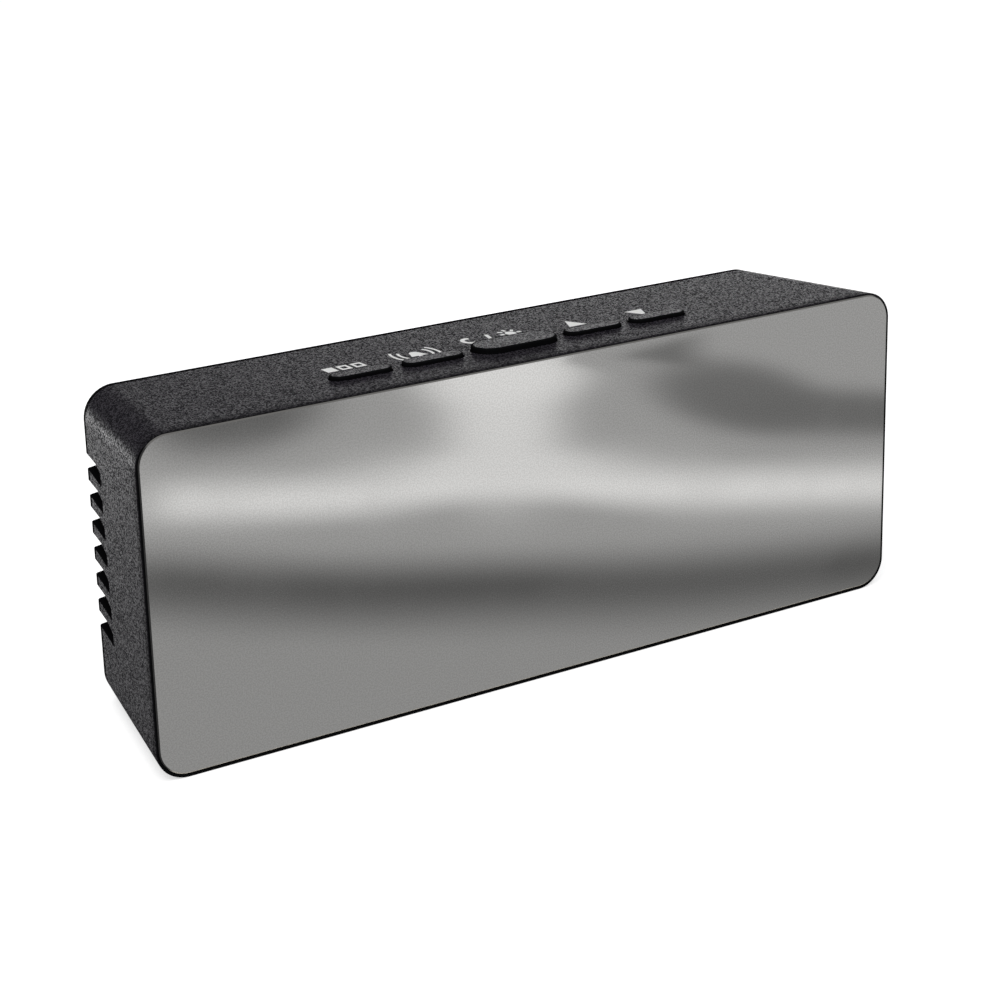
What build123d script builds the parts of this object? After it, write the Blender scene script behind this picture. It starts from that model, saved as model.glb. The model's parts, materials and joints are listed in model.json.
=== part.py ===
from build123d import *
import os
from math import atan, cos, degrees, sin

# Mirror alarm clock, in millimetres.
# X runs to the right seen from the front, the mirror faces -Y and +Z is up.
# The origin is on the table under the middle of the clock.

# Case
CASE_LENGTH = 145.0
CASE_HEIGHT = 56.8
CASE_DEPTH = 34.0          # from the mirror's face to the rear edge
CORNER_RADIUS = 5.3
WALL = 2.0
TOP_DRAFT = 1.8            # how far the rear edge is drawn in on the top
SIDE_DRAFT = 4.6           # and on each side
EDGE_BREAK = 0.25
RIM_ROUNDING = 0.15
OVERCUT = 1.0              # how far a cut runs past the face that it opens

# Mirror, in a pocket of the case's front, and the adhesive frame that holds it
MIRROR_THICKNESS = 1.0
MIRROR_PROUD = 0.2         # how far the mirror stands out of the rim round it
MIRROR_GAP = 0.1           # from the mirror's edge to the rim
MIRROR_INSET = 0.5         # from the case's side to the mirror
MIRROR_TOP_INSET = 0.35
MIRROR_LIP = 0.7           # from the table to the mirror
MIRROR_BEVEL = 0.2
TAPE_THICKNESS = 0.3
TAPE_MARGIN = 2.5          # from the mirror's edge to the tape

# Side vents, notches that run out through the rear edge
VENT_COUNT = 7
VENT_PITCH = 4.6
VENT_HEIGHT = 3.1          # at the outside, narrower inside
VENT_LENGTH = 9.7
VENT_TAPER = 8.0           # degrees that each face slopes
VENT_RISE = 1.4            # middle of the vents over the middle of the rear cover
VENT_CORNER_RUN = 3.2      # slant of the upper front corner
VENT_CORNER_DROP = 0.8

# Keys along the top
KEY_ROW_SETBACK = 10.8     # from the mirror's face to the middle of the row
KEY_GAP = 2.25
KEY_LENGTH = 11.1
KEY_WIDTH = 3.8
KEY_RISE = 0.65
BAR_LENGTH = 15.7          # the middle key
BAR_WIDTH = 7.2
BAR_RISE = 0.95
KEY_CLEARANCE = 0.2
KEY_ROUNDING = 0.3
KEY_FLANGE = 0.8
KEY_FLANGE_THICKNESS = 0.8
KEY_PLAY = 0.1             # from the flange to the wall above it
STEM_DIAMETER = 3.0
STEM_LENGTH = 0.8

# Push switches and the board that carries them
SWITCH_SIZE = 6.0
SWITCH_HEIGHT = 3.5
PLUNGER_DIAMETER = 3.4
PLUNGER_RISE = 1.4
PLUNGER_SEAT = 0.6
PLUNGER_CLEARANCE = 0.1
PLUNGER_FREE_DEPTH = 0.6   # room under the plunger
KEY_BOARD_REACH = 6.5      # behind the middle of the key row
KEY_BOARD_END = 3.5        # past the middle of each screw boss
KEY_BOSS_SETBACK = 2.2     # from the middle of the key row
KEY_BOSS_GAP = 1.5
LINK_PIN_COUNT = 8
LINK_PIN_PITCH = 2.54
LINK_PIN_SIZE = 0.6
LINK_PIN_LENGTH = 5.5
LINK_PIN_GAP = 0.1

# Boards, bosses and screws
BOARD_THICKNESS = 1.6
BOARD_GAP = 1.0            # from a board's edge to what stands beside it
BOARD_FLOOR_GAP = 6.0
BOSS_RADIUS = 2.5
COVER_BOSS_RADIUS = 3.0
COVER_BOSS_INSET = 4.2     # from the case's inner wall at the rear edge
STANDOFF_INSET = 3.5       # from the edges of the display board
PILOT_RADIUS = 1.0
SCREW_FIT = 0.05           # from a screw's shaft to its pilot hole
SCREW_CLEARANCE = 0.15     # from a screw's shaft to a hole it passes through
SCREW_HEAD_RADIUS = 1.9
SCREW_HEAD_HEIGHT = 1.2
SCREW_BITE = 5.0           # length of thread in a boss
SCREW_SLOT_LENGTH = 2.5
SCREW_SLOT_WIDTH = 0.6
SCREW_SLOT_DEPTH = 0.6

# Display
FILM_THICKNESS = 0.2
FILM_GAP = 0.1             # from the film to the mirror
REFLECTOR_DEPTH = 9.0
REFLECTOR_MARGIN = 1.5     # inside the display board's top and bottom edges
REFLECTOR_GAP = 0.9        # from the standoffs
WINDOW_CLEARANCE = 0.4
DIGIT_COUNT = 4
DIGIT_MARGIN = 4.0         # from the reflector's edges to the digits
DIGIT_GAP = 7.0
SEGMENT_WIDTH = 3.0
SEGMENT_GAP = 0.8
COLON_WIDTH = 10.0
LED_LENGTH = 2.0
LED_WIDTH = 1.2
LED_HEIGHT = 0.8

# Components on the back of the display board
CHIP_LENGTH = 18.0
CHIP_WIDTH = 8.0
CHIP_HEIGHT = 2.4
CHIP_PIN_COUNT = 10
CHIP_PIN_REACH = 1.4
CHIP_PIN_WIDTH = 0.6
CRYSTAL_LENGTH = 6.0
CRYSTAL_RADIUS = 1.0
CAPACITOR_RADIUS = 2.5
CAPACITOR_HEIGHT = 5.0
BUZZER_RADIUS = 6.0
BUZZER_HEIGHT = 5.5
BUZZER_HOLE_RADIUS = 1.0
SENSOR_RADIUS = 1.2
SENSOR_HEIGHT = 3.0
BUZZER_INSET = 14.0        # from the end of the display board
CHIP_MARGIN = 3.0          # from the top of the display board
COMPONENT_GAP = 1.0        # from one component to the next

# Rear cover
COVER_THICKNESS = 2.6
COVER_CLEARANCE = 0.2
COVER_COUNTERBORE_DEPTH = 1.4
COVER_COUNTERBORE_CLEARANCE = 0.3

# Battery tray, cells and contacts
CELL_COUNT = 3
CELL_DIAMETER = 10.5
CELL_LENGTH = 44.5         # with its button
CELL_BUTTON_DIAMETER = 3.8
CELL_BUTTON_LENGTH = 0.9
CELL_GAP = 0.4
CELL_FIT = 0.05
TRAY_WALL = 2.0
TRAY_FLOOR = 1.5
TRAY_SLACK = 0.5           # room behind the cells
CONTACT_THICKNESS = 0.4
CONTACT_SIZE = 8.0
LEAF_DEPTH = 4.5
LEAF_THICKNESS = 0.4
LEAF_WIDTH = 5.0
LEAF_SPAN = 8.4

# Battery door
DOOR_LEDGE = 1.0           # what the door shuts on
DOOR_CLEARANCE = 0.25
DOOR_SEAT_GAP = 0.1
DOOR_PIN_RADIUS = 0.7
DOOR_PIN_LENGTH = 1.2
DOOR_PIN_FIT = 0.08
LATCH_LENGTH = 12.0
LATCH_RISE = 0.15
LATCH_RADIUS = 0.6
GRIP_COUNT = 5
GRIP_PITCH = 1.8
GRIP_WIDTH = 0.8
GRIP_DEPTH = 0.4
GRIP_LENGTH = 16.0
GRIP_MARGIN = 3.0

# Power socket and its board
SOCKET_Z = 15.0
SOCKET_WIDTH = 8.9
SOCKET_HEIGHT = 3.3
SOCKET_LENGTH = 7.3
SOCKET_WALL = 0.3
SOCKET_RECESS = 0.6
SOCKET_CLEARANCE = 0.3
SOCKET_BASE = 1.6
TONGUE_WIDTH = 6.4
TONGUE_THICKNESS = 0.7
TONGUE_LENGTH = 4.4
TONGUE_FIT = 0.05
POWER_BOARD_WIDTH = 17.0
POWER_BOARD_DEPTH = 13.0
POWER_BOARD_THICKNESS = 1.2
SHELF_WIDTH = 4.0
SHELF_HEIGHT = 6.0
SHELF_SCREW_SETBACK = 3.0  # from the front edge of the power board
LEAD_RADIUS = 0.6
LEAD_PITCH = 2.6
LEAD_SETBACK = 2.5         # from the front edge of the power board
LEAD_RISE = 4.5
LEAD_BEND = 2.0

# Depths, front to rear
FACE_Y = -CASE_DEPTH / 2
REAR_Y = CASE_DEPTH / 2
RIM_Y = FACE_Y + MIRROR_PROUD
MIRROR_BACK_Y = FACE_Y + MIRROR_THICKNESS
POCKET_Y = MIRROR_BACK_Y + TAPE_THICKNESS
FRONT_WALL_Y = POCKET_Y + WALL
FILM_FRONT_Y = MIRROR_BACK_Y + FILM_GAP
REFLECTOR_FRONT_Y = FILM_FRONT_Y + FILM_THICKNESS
BOARD_FRONT_Y = REFLECTOR_FRONT_Y + REFLECTOR_DEPTH
BOARD_BACK_Y = BOARD_FRONT_Y + BOARD_THICKNESS
COVER_FRONT_Y = REAR_Y - COVER_THICKNESS

# The sloping top, with a plane on it at the middle of the key row
slope = atan(TOP_DRAFT / (REAR_Y - RIM_Y))
key_row_y = FACE_Y + KEY_ROW_SETBACK
key_row_z = CASE_HEIGHT - (key_row_y - RIM_Y) * TOP_DRAFT / (REAR_Y - RIM_Y)
top_plane = Plane(
    (0, key_row_y, key_row_z),
    x_dir=(1, 0, 0),
    z_dir=(0, sin(slope), cos(slope)),
)
top_axis = Axis(top_plane.origin, top_plane.z_dir)

# Depths below that plane
wall_depth = WALL * cos(slope)
flange_depth = wall_depth + KEY_PLAY
stem_depth = flange_depth + KEY_FLANGE_THICKNESS
plunger_depth = stem_depth + STEM_LENGTH
switch_depth = plunger_depth + PLUNGER_RISE
key_board_depth = switch_depth + SWITCH_HEIGHT
key_board_under = key_board_depth + BOARD_THICKNESS

# The row of keys: name, place along the row, length, width and rise
near_x = BAR_LENGTH / 2 + KEY_GAP + KEY_LENGTH / 2
far_x = near_x + KEY_LENGTH + KEY_GAP
KEYS = [
    ("mode", -far_x, KEY_LENGTH, KEY_WIDTH, KEY_RISE),
    ("alarm", -near_x, KEY_LENGTH, KEY_WIDTH, KEY_RISE),
    ("snooze_light", 0, BAR_LENGTH, BAR_WIDTH, BAR_RISE),
    ("up", near_x, KEY_LENGTH, KEY_WIDTH, KEY_RISE),
    ("down", far_x, KEY_LENGTH, KEY_WIDTH, KEY_RISE),
]
key_boss_x = far_x + KEY_LENGTH / 2 + KEY_FLANGE + KEY_BOSS_GAP + BOSS_RADIUS
key_boss_points = [(-key_boss_x, KEY_BOSS_SETBACK), (key_boss_x, KEY_BOSS_SETBACK)]

# The key board reaches from the front wall to a little behind the keys
key_board_front = (FRONT_WALL_Y + BOARD_GAP - key_row_y + key_board_under * sin(slope)) / cos(slope)
key_board_width = KEY_BOARD_REACH - key_board_front
key_board_low_z = key_row_z - key_board_under * cos(slope) - KEY_BOARD_REACH * sin(slope)

# Cover bosses in the four corners, and the display board between them
rear_half_length = CASE_LENGTH / 2 - SIDE_DRAFT - WALL
rear_top_z = CASE_HEIGHT - TOP_DRAFT - WALL
cover_boss_x = rear_half_length - COVER_BOSS_INSET
cover_boss_low = WALL + COVER_BOSS_INSET + COVER_CLEARANCE
cover_boss_high = rear_top_z - COVER_BOSS_INSET - COVER_CLEARANCE
cover_boss_points = [(x, z) for x in (-cover_boss_x, cover_boss_x) for z in (cover_boss_low, cover_boss_high)]
board_half_length = cover_boss_x - COVER_BOSS_RADIUS - BOARD_GAP
board_low_z = WALL + BOARD_FLOOR_GAP
board_high_z = key_board_low_z - BOARD_GAP
board_height = board_high_z - board_low_z
display_z = (board_low_z + board_high_z) / 2
standoff_x = board_half_length - STANDOFF_INSET
standoff_z = board_height / 2 - STANDOFF_INSET
standoff_points = [
    (x, display_z + z) for x in (-standoff_x, standoff_x) for z in (-standoff_z, standoff_z)
]

# Display block and its digits
reflector_length = 2 * (standoff_x - BOSS_RADIUS - REFLECTOR_GAP)
reflector_height = board_height - 2 * REFLECTOR_MARGIN
digit_height = reflector_height - 2 * DIGIT_MARGIN
digit_pitch = (reflector_length - COLON_WIDTH) / DIGIT_COUNT
digit_width = digit_pitch - DIGIT_GAP
digit_offsets = [i - (DIGIT_COUNT - 1) / 2 for i in range(DIGIT_COUNT)]
digit_x = [k * digit_pitch + (COLON_WIDTH / 2 if k > 0 else -COLON_WIDTH / 2) for k in digit_offsets]
bar_reach = digit_width - 2 * (SEGMENT_WIDTH + SEGMENT_GAP)
post_reach = digit_height / 2 - SEGMENT_GAP
bar_places = [(x, display_z + k * (digit_height - SEGMENT_WIDTH) / 2) for x in digit_x for k in (-1, 0, 1)]
post_places = [
    (x + side * (digit_width - SEGMENT_WIDTH) / 2, display_z + k * digit_height / 4)
    for x in digit_x
    for side in (-1, 1)
    for k in (-1, 1)
]
colon_places = [(0, display_z + k * digit_height / 4) for k in (-1, 1)]

# Battery tray, in the middle of the rear cover
cover_mid_z = (WALL + rear_top_z) / 2
cell_pitch = CELL_DIAMETER + CELL_GAP
tray_length = CELL_LENGTH + LEAF_DEPTH + CONTACT_THICKNESS + 2 * CELL_FIT
tray_height = CELL_COUNT * cell_pitch
tray_depth = CELL_DIAMETER + CELL_FIT + TRAY_SLACK
tray_floor_y = COVER_FRONT_Y - tray_depth
cell_y = tray_floor_y + CELL_FIT + CELL_DIAMETER / 2
cell_rows = [
    (cover_mid_z + (i - (CELL_COUNT - 1) / 2) * cell_pitch, 1 if i % 2 == 0 else -1)
    for i in range(CELL_COUNT)
]

# Battery door, hinged along its lower edge
opening_length = tray_length + 2 * DOOR_LEDGE
opening_height = tray_height + 2 * DOOR_LEDGE
door_thickness = COVER_THICKNESS - DOOR_SEAT_GAP
door_length = opening_length - 2 * DOOR_CLEARANCE
door_height = opening_height - 2 * DOOR_CLEARANCE
hinge_y = REAR_Y - door_thickness / 2
hinge_z = cover_mid_z - door_height / 2 + door_thickness / 2
door_top_z = cover_mid_z + door_height / 2

# Power socket, between the battery tray and the cover bosses
socket_x = (tray_length / 2 + TRAY_WALL + cover_boss_x - COVER_BOSS_RADIUS) / 2
socket_mouth_y = REAR_Y - SOCKET_RECESS
power_board_z = SOCKET_Z - SOCKET_HEIGHT / 2
power_board_front_y = COVER_FRONT_Y - POWER_BOARD_DEPTH
shelf_x = POWER_BOARD_WIDTH / 2 - SHELF_WIDTH / 2
shelf_screw_y = power_board_front_y + SHELF_SCREW_SETBACK

SHAFT_RADIUS = PILOT_RADIUS - SCREW_FIT
THROUGH_RADIUS = SHAFT_RADIUS + SCREW_CLEARANCE
cover_screw_reach = COVER_THICKNESS - COVER_COUNTERBORE_DEPTH + SCREW_BITE


def front_facing(y):
    """Plane across the clock at depth y, facing the front, with X across and Z up."""
    return Plane.XZ.offset(-y)


def rear_facing(y):
    """Plane across the clock at depth y, facing the rear, with -X across and Z up."""
    return Plane((0, y, 0), x_dir=(-1, 0, 0), z_dir=(0, 1, 0))


def drawn_in(y, draft):
    """How far a face has been drawn in at depth y."""
    return draft * (y - RIM_Y) / (REAR_Y - RIM_Y)


def case_form(front_y, rear_y, inset):
    """Drafted block with four long rounded edges, set in all round from the outside of the case."""
    front_top = CASE_HEIGHT - drawn_in(front_y, TOP_DRAFT) - inset
    rear_top = CASE_HEIGHT - drawn_in(rear_y, TOP_DRAFT) - inset
    front_half = CASE_LENGTH / 2 - drawn_in(front_y, SIDE_DRAFT) - inset
    rear_half = CASE_LENGTH / 2 - drawn_in(rear_y, SIDE_DRAFT) - inset
    with BuildPart() as form:
        with BuildSketch(Plane.YZ):
            Polygon((front_y, inset), (rear_y, inset), (rear_y, rear_top), (front_y, front_top), align=None)
        extrude(amount=CASE_LENGTH / 2, both=True)
        with BuildSketch(Plane.XY):
            Polygon(
                (-front_half, front_y),
                (front_half, front_y),
                (rear_half, rear_y),
                (-rear_half, rear_y),
                align=None,
            )
        extrude(amount=CASE_HEIGHT, mode=Mode.INTERSECT)
        long_edges = form.edges().group_by(Axis.Y)[1]
        fillet(long_edges, radius=CORNER_RADIUS - inset)
    return form.part


def case_section(y, inset):
    """Rounded outline of the case at depth y, drawn in all round by inset."""
    width = CASE_LENGTH - 2 * (drawn_in(y, SIDE_DRAFT) + inset)
    height = CASE_HEIGHT - drawn_in(y, TOP_DRAFT) - 2 * inset
    with BuildSketch(front_facing(y)) as section:
        with Locations((0, inset + height / 2)):
            RectangleRounded(width, height, CORNER_RADIUS - inset)
    return section.sketch


def mirror_outline(y, margin):
    """Rounded outline of the mirror at depth y, drawn in all round by margin."""
    width = CASE_LENGTH - 2 * (MIRROR_INSET + margin)
    low = MIRROR_LIP + margin
    high = CASE_HEIGHT - MIRROR_TOP_INSET - margin
    with BuildSketch(front_facing(y)) as outline:
        with Locations((0, (low + high) / 2)):
            RectangleRounded(width, high - low, CORNER_RADIUS - MIRROR_INSET - margin)
    return outline.sketch


def screw_group(seat, points, shaft_length):
    """Cross-head screws whose heads stand on the seat plane and whose shafts run back from it."""
    with BuildPart() as group:
        with BuildSketch(seat):
            with Locations(*points):
                Circle(SCREW_HEAD_RADIUS)
        extrude(amount=SCREW_HEAD_HEIGHT)
        with BuildSketch(seat.offset(SCREW_HEAD_HEIGHT)):
            with Locations(*points):
                Rectangle(SCREW_SLOT_LENGTH, SCREW_SLOT_WIDTH)
                Rectangle(SCREW_SLOT_WIDTH, SCREW_SLOT_LENGTH)
        extrude(amount=-SCREW_SLOT_DEPTH, mode=Mode.SUBTRACT)
        with BuildSketch(seat):
            with Locations(*points):
                Circle(SHAFT_RADIUS)
        extrude(amount=-shaft_length)
    return group.part


def save(part, name):
    """Label one piece and write it to its own file."""
    part.label = name
    export_step(part, f"parts/{name}.step")


os.makedirs("parts", exist_ok=True)

# Main case: a drafted shell, open at the rear
case_outside = case_form(RIM_Y, REAR_Y, 0)
case_hollow = case_form(FRONT_WALL_Y, REAR_Y + OVERCUT, WALL)
with BuildPart() as main_case:
    add(case_outside)
    fillet(main_case.faces().sort_by(Axis.Y)[0].edges(), radius=RIM_ROUNDING)
    chamfer(main_case.faces().sort_by(Axis.Y)[-1].edges(), length=EDGE_BREAK)
    extrude(mirror_outline(POCKET_Y, -MIRROR_GAP), amount=POCKET_Y - FACE_Y, mode=Mode.SUBTRACT)
    add(case_hollow, mode=Mode.SUBTRACT)
    # bosses for the cover screws and standoffs for the display board
    with BuildSketch(rear_facing(FRONT_WALL_Y)):
        with Locations(*cover_boss_points):
            Circle(COVER_BOSS_RADIUS)
    extrude(amount=COVER_FRONT_Y - FRONT_WALL_Y)
    with BuildSketch(rear_facing(COVER_FRONT_Y)):
        with Locations(*cover_boss_points):
            Circle(PILOT_RADIUS)
    extrude(amount=-SCREW_BITE - OVERCUT, mode=Mode.SUBTRACT)
    with BuildSketch(rear_facing(FRONT_WALL_Y)):
        with Locations(*standoff_points):
            Circle(BOSS_RADIUS)
    extrude(amount=BOARD_FRONT_Y - FRONT_WALL_Y)
    with BuildSketch(rear_facing(BOARD_FRONT_Y)):
        with Locations(*standoff_points):
            Circle(PILOT_RADIUS)
    extrude(amount=-SCREW_BITE - OVERCUT, mode=Mode.SUBTRACT)
    # bosses that hang from the top wall and carry the key board
    with BuildSketch(top_plane.offset(-key_board_depth)):
        with Locations(*key_boss_points):
            Circle(BOSS_RADIUS)
    extrude(amount=key_board_depth - wall_depth / 2)
    with BuildSketch(top_plane.offset(-key_board_depth)):
        with Locations(*key_boss_points):
            Circle(PILOT_RADIUS)
    extrude(amount=SCREW_BITE + SCREW_FIT, mode=Mode.SUBTRACT)
    # display window
    with BuildSketch(rear_facing(POCKET_Y)):
        with Locations((0, display_z)):
            Rectangle(reflector_length + 2 * WINDOW_CLEARANCE, reflector_height + 2 * WINDOW_CLEARANCE)
    extrude(amount=WALL, mode=Mode.SUBTRACT)
    # holes for the keys
    with BuildSketch(top_plane):
        for key_name, key_x, length, width, rise in KEYS:
            with Locations((key_x, 0)):
                SlotOverall(length + 2 * KEY_CLEARANCE, width + 2 * KEY_CLEARANCE)
    extrude(amount=wall_depth + OVERCUT, both=True, mode=Mode.SUBTRACT)
    # vents through both side walls, each cut from the outside
    vent_front_y = REAR_Y - VENT_LENGTH
    vent_rear_y = REAR_Y + 2 * OVERCUT
    vent_outside = CASE_LENGTH / 2 - drawn_in(vent_front_y, SIDE_DRAFT) + EDGE_BREAK
    vent_depth = vent_outside - rear_half_length + OVERCUT
    for side in (-1, 1):
        with BuildSketch(Plane((side * vent_outside, 0, 0), x_dir=(0, -side, 0), z_dir=(-side, 0, 0))):
            with Locations((0, cover_mid_z + VENT_RISE)):
                with GridLocations(0, VENT_PITCH, 1, VENT_COUNT):
                    Polygon(
                        (-side * vent_front_y, -VENT_HEIGHT / 2),
                        (-side * vent_rear_y, -VENT_HEIGHT / 2),
                        (-side * vent_rear_y, VENT_HEIGHT / 2),
                        (-side * (vent_front_y + VENT_CORNER_RUN), VENT_HEIGHT / 2),
                        (-side * vent_front_y, VENT_HEIGHT / 2 - VENT_CORNER_DROP),
                        align=None,
                    )
        extrude(amount=vent_depth, taper=VENT_TAPER, mode=Mode.SUBTRACT)
save(main_case.part, "main_case")

# Mirror: a flat acrylic sheet with a small bevel round its face
with BuildPart() as mirror_panel:
    extrude(mirror_outline(MIRROR_BACK_Y, 0), amount=MIRROR_THICKNESS)
    chamfer(mirror_panel.faces().sort_by(Axis.Y)[0].edges(), length=MIRROR_BEVEL)
save(mirror_panel.part, "mirror_panel")

# Adhesive frame between the mirror and the case
with BuildPart() as mirror_tape:
    extrude(mirror_outline(POCKET_Y, TAPE_MARGIN), amount=TAPE_THICKNESS)
    with BuildSketch(front_facing(POCKET_Y)):
        with Locations((0, display_z)):
            Rectangle(reflector_length + 2 * WINDOW_CLEARANCE, reflector_height + 2 * WINDOW_CLEARANCE)
    extrude(amount=TAPE_THICKNESS, mode=Mode.SUBTRACT)
save(mirror_tape.part, "mirror_tape")

# Diffusing film in front of the digits
with BuildPart() as display_diffuser:
    with BuildSketch(front_facing(REFLECTOR_FRONT_Y)):
        with Locations((0, display_z)):
            Rectangle(reflector_length, reflector_height)
    extrude(amount=FILM_THICKNESS)
save(display_diffuser.part, "display_diffuser")

# Reflector block with a light well for each segment
with BuildPart() as digit_reflector:
    with BuildSketch(rear_facing(REFLECTOR_FRONT_Y)):
        with Locations((0, display_z)):
            Rectangle(reflector_length, reflector_height)
    extrude(amount=REFLECTOR_DEPTH)
    with BuildSketch(front_facing(BOARD_FRONT_Y)):
        with Locations(*bar_places):
            SlotOverall(bar_reach, SEGMENT_WIDTH)
        with Locations(*post_places):
            SlotOverall(post_reach, SEGMENT_WIDTH, rotation=90)
        with Locations(*colon_places):
            Circle(SEGMENT_WIDTH / 2)
    extrude(amount=REFLECTOR_DEPTH, mode=Mode.SUBTRACT)
save(digit_reflector.part, "digit_reflector")

# Display board
with BuildPart() as display_board:
    with BuildSketch(rear_facing(BOARD_FRONT_Y)):
        with Locations((0, display_z)):
            Rectangle(2 * board_half_length, board_height)
        with Locations(*standoff_points):
            Circle(THROUGH_RADIUS, mode=Mode.SUBTRACT)
    extrude(amount=BOARD_THICKNESS)
save(display_board.part, "display_board")

# One lamp at the foot of each light well
with BuildPart() as segment_lamps:
    with BuildSketch(front_facing(BOARD_FRONT_Y)):
        with Locations(*bar_places, *colon_places):
            Rectangle(LED_LENGTH, LED_WIDTH)
        with Locations(*post_places):
            Rectangle(LED_WIDTH, LED_LENGTH)
    extrude(amount=LED_HEIGHT)
save(segment_lamps.part, "segment_lamps")

back_plane = rear_facing(BOARD_BACK_Y)
save(screw_group(back_plane, standoff_points, BOARD_THICKNESS + SCREW_BITE), "display_board_screws")

# Components on the back of the display board, on both sides of the battery tray.
# The capacitor and the temperature sensor stand over and under the buzzer, the crystal beside the chip.
buzzer_x = BUZZER_INSET - board_half_length
capacitor_z = display_z + BUZZER_RADIUS + COMPONENT_GAP + CAPACITOR_RADIUS
sensor_z = display_z - BUZZER_RADIUS - COMPONENT_GAP - SENSOR_RADIUS
chip_reach = CHIP_WIDTH / 2 + CHIP_PIN_REACH
chip_x = tray_length / 2 + TRAY_WALL + COMPONENT_GAP + chip_reach
chip_z = board_high_z - CHIP_MARGIN - CHIP_LENGTH / 2
crystal_x = chip_x + chip_reach + COMPONENT_GAP + CRYSTAL_RADIUS
with BuildPart() as buzzer:
    with BuildSketch(back_plane):
        with Locations((-buzzer_x, display_z)):
            Circle(BUZZER_RADIUS)
    extrude(amount=BUZZER_HEIGHT)
    with BuildSketch(back_plane.offset(BUZZER_HEIGHT)):
        with Locations((-buzzer_x, display_z)):
            Circle(BUZZER_HOLE_RADIUS)
    extrude(amount=-BUZZER_HEIGHT / 2, mode=Mode.SUBTRACT)
save(buzzer.part, "buzzer")

with BuildPart() as crystal:
    with Locations((crystal_x, BOARD_BACK_Y + CRYSTAL_RADIUS, chip_z)):
        Cylinder(CRYSTAL_RADIUS, CRYSTAL_LENGTH)
save(crystal.part, "crystal")

with BuildPart() as control_chip:
    with BuildSketch(back_plane):
        with Locations((-chip_x, chip_z)):
            Rectangle(CHIP_WIDTH, CHIP_LENGTH)
    extrude(amount=CHIP_HEIGHT)
    with BuildSketch(back_plane):
        with Locations((-chip_x, chip_z)):
            with GridLocations(CHIP_WIDTH + CHIP_PIN_REACH, CHIP_LENGTH / CHIP_PIN_COUNT, 2, CHIP_PIN_COUNT):
                Rectangle(CHIP_PIN_REACH, CHIP_PIN_WIDTH)
    extrude(amount=CHIP_PIN_WIDTH)
save(control_chip.part, "control_chip")

with BuildPart() as smoothing_capacitor:
    with BuildSketch(back_plane):
        with Locations((-buzzer_x, capacitor_z)):
            Circle(CAPACITOR_RADIUS)
    extrude(amount=CAPACITOR_HEIGHT)
save(smoothing_capacitor.part, "smoothing_capacitor")

with BuildPart() as temperature_sensor:
    with BuildSketch(back_plane):
        with Locations((-buzzer_x, sensor_z)):
            Circle(SENSOR_RADIUS)
    extrude(amount=SENSOR_HEIGHT)
    fillet(temperature_sensor.faces().sort_by(Axis.Y)[-1].edges(), radius=SENSOR_RADIUS / 2)
save(temperature_sensor.part, "temperature_sensor")

# Keys and the switch plungers that they press
for key_name, key_x, length, width, rise in KEYS:
    with BuildPart() as key:
        with BuildSketch(top_plane.offset(-flange_depth)):
            with Locations((key_x, 0)):
                SlotOverall(length, width)
        extrude(amount=flange_depth + rise)
        fillet(key.faces().sort_by(top_axis)[-1].edges(), radius=KEY_ROUNDING)
        with BuildSketch(top_plane.offset(-stem_depth)):
            with Locations((key_x, 0)):
                SlotOverall(length + 2 * KEY_FLANGE, width + 2 * KEY_FLANGE)
        extrude(amount=KEY_FLANGE_THICKNESS)
        with BuildSketch(top_plane.offset(-plunger_depth)):
            with Locations((key_x, 0)):
                Circle(STEM_DIAMETER / 2)
        extrude(amount=STEM_LENGTH)
    save(key.part, f"{key_name}_button")
    with BuildPart() as plunger:
        with BuildSketch(top_plane.offset(-switch_depth - PLUNGER_SEAT)):
            with Locations((key_x, 0)):
                Circle(PLUNGER_DIAMETER / 2)
        extrude(amount=PLUNGER_SEAT + PLUNGER_RISE)
    save(plunger.part, f"{key_name}_plunger")

with BuildPart() as key_switches:
    with BuildSketch(top_plane.offset(-key_board_depth)):
        for key_name, key_x, length, width, rise in KEYS:
            with Locations((key_x, 0)):
                Rectangle(SWITCH_SIZE, SWITCH_SIZE)
    extrude(amount=SWITCH_HEIGHT)
    with BuildSketch(top_plane.offset(-switch_depth)):
        for key_name, key_x, length, width, rise in KEYS:
            with Locations((key_x, 0)):
                Circle(PLUNGER_DIAMETER / 2 + PLUNGER_CLEARANCE)
    extrude(amount=-PLUNGER_SEAT - PLUNGER_FREE_DEPTH, mode=Mode.SUBTRACT)
save(key_switches.part, "key_switches")

# Board under the keys, its screws and the pins that join it to the display board
with BuildPart() as key_board:
    with BuildSketch(top_plane.offset(-key_board_depth)):
        with Locations((0, (key_board_front + KEY_BOARD_REACH) / 2)):
            Rectangle(2 * (key_boss_x + KEY_BOARD_END), key_board_width)
        with Locations(*key_boss_points):
            Circle(THROUGH_RADIUS, mode=Mode.SUBTRACT)
    extrude(amount=-BOARD_THICKNESS)
save(key_board.part, "key_board")

under_plane = Plane(
    top_plane.offset(-key_board_under).origin,
    x_dir=top_plane.x_dir,
    z_dir=-top_plane.z_dir,
)
under_points = [(x, -back) for x, back in key_boss_points]
save(screw_group(under_plane, under_points, BOARD_THICKNESS + SCREW_BITE), "key_board_screws")

# The pins stand square to the key board and end beside the back of the display board
pin_foot_y = BOARD_BACK_Y + LINK_PIN_GAP + LINK_PIN_SIZE / 2
pin_depth = key_board_under + LINK_PIN_LENGTH
pin_row = (pin_foot_y - key_row_y + pin_depth * sin(slope)) / cos(slope)
with BuildPart() as board_link_pins:
    with BuildSketch(under_plane):
        with Locations((0, -pin_row)):
            with GridLocations(LINK_PIN_PITCH, 0, LINK_PIN_COUNT, 1):
                Rectangle(LINK_PIN_SIZE, LINK_PIN_SIZE)
    extrude(amount=LINK_PIN_LENGTH)
save(board_link_pins.part, "board_link_pins")

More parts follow.
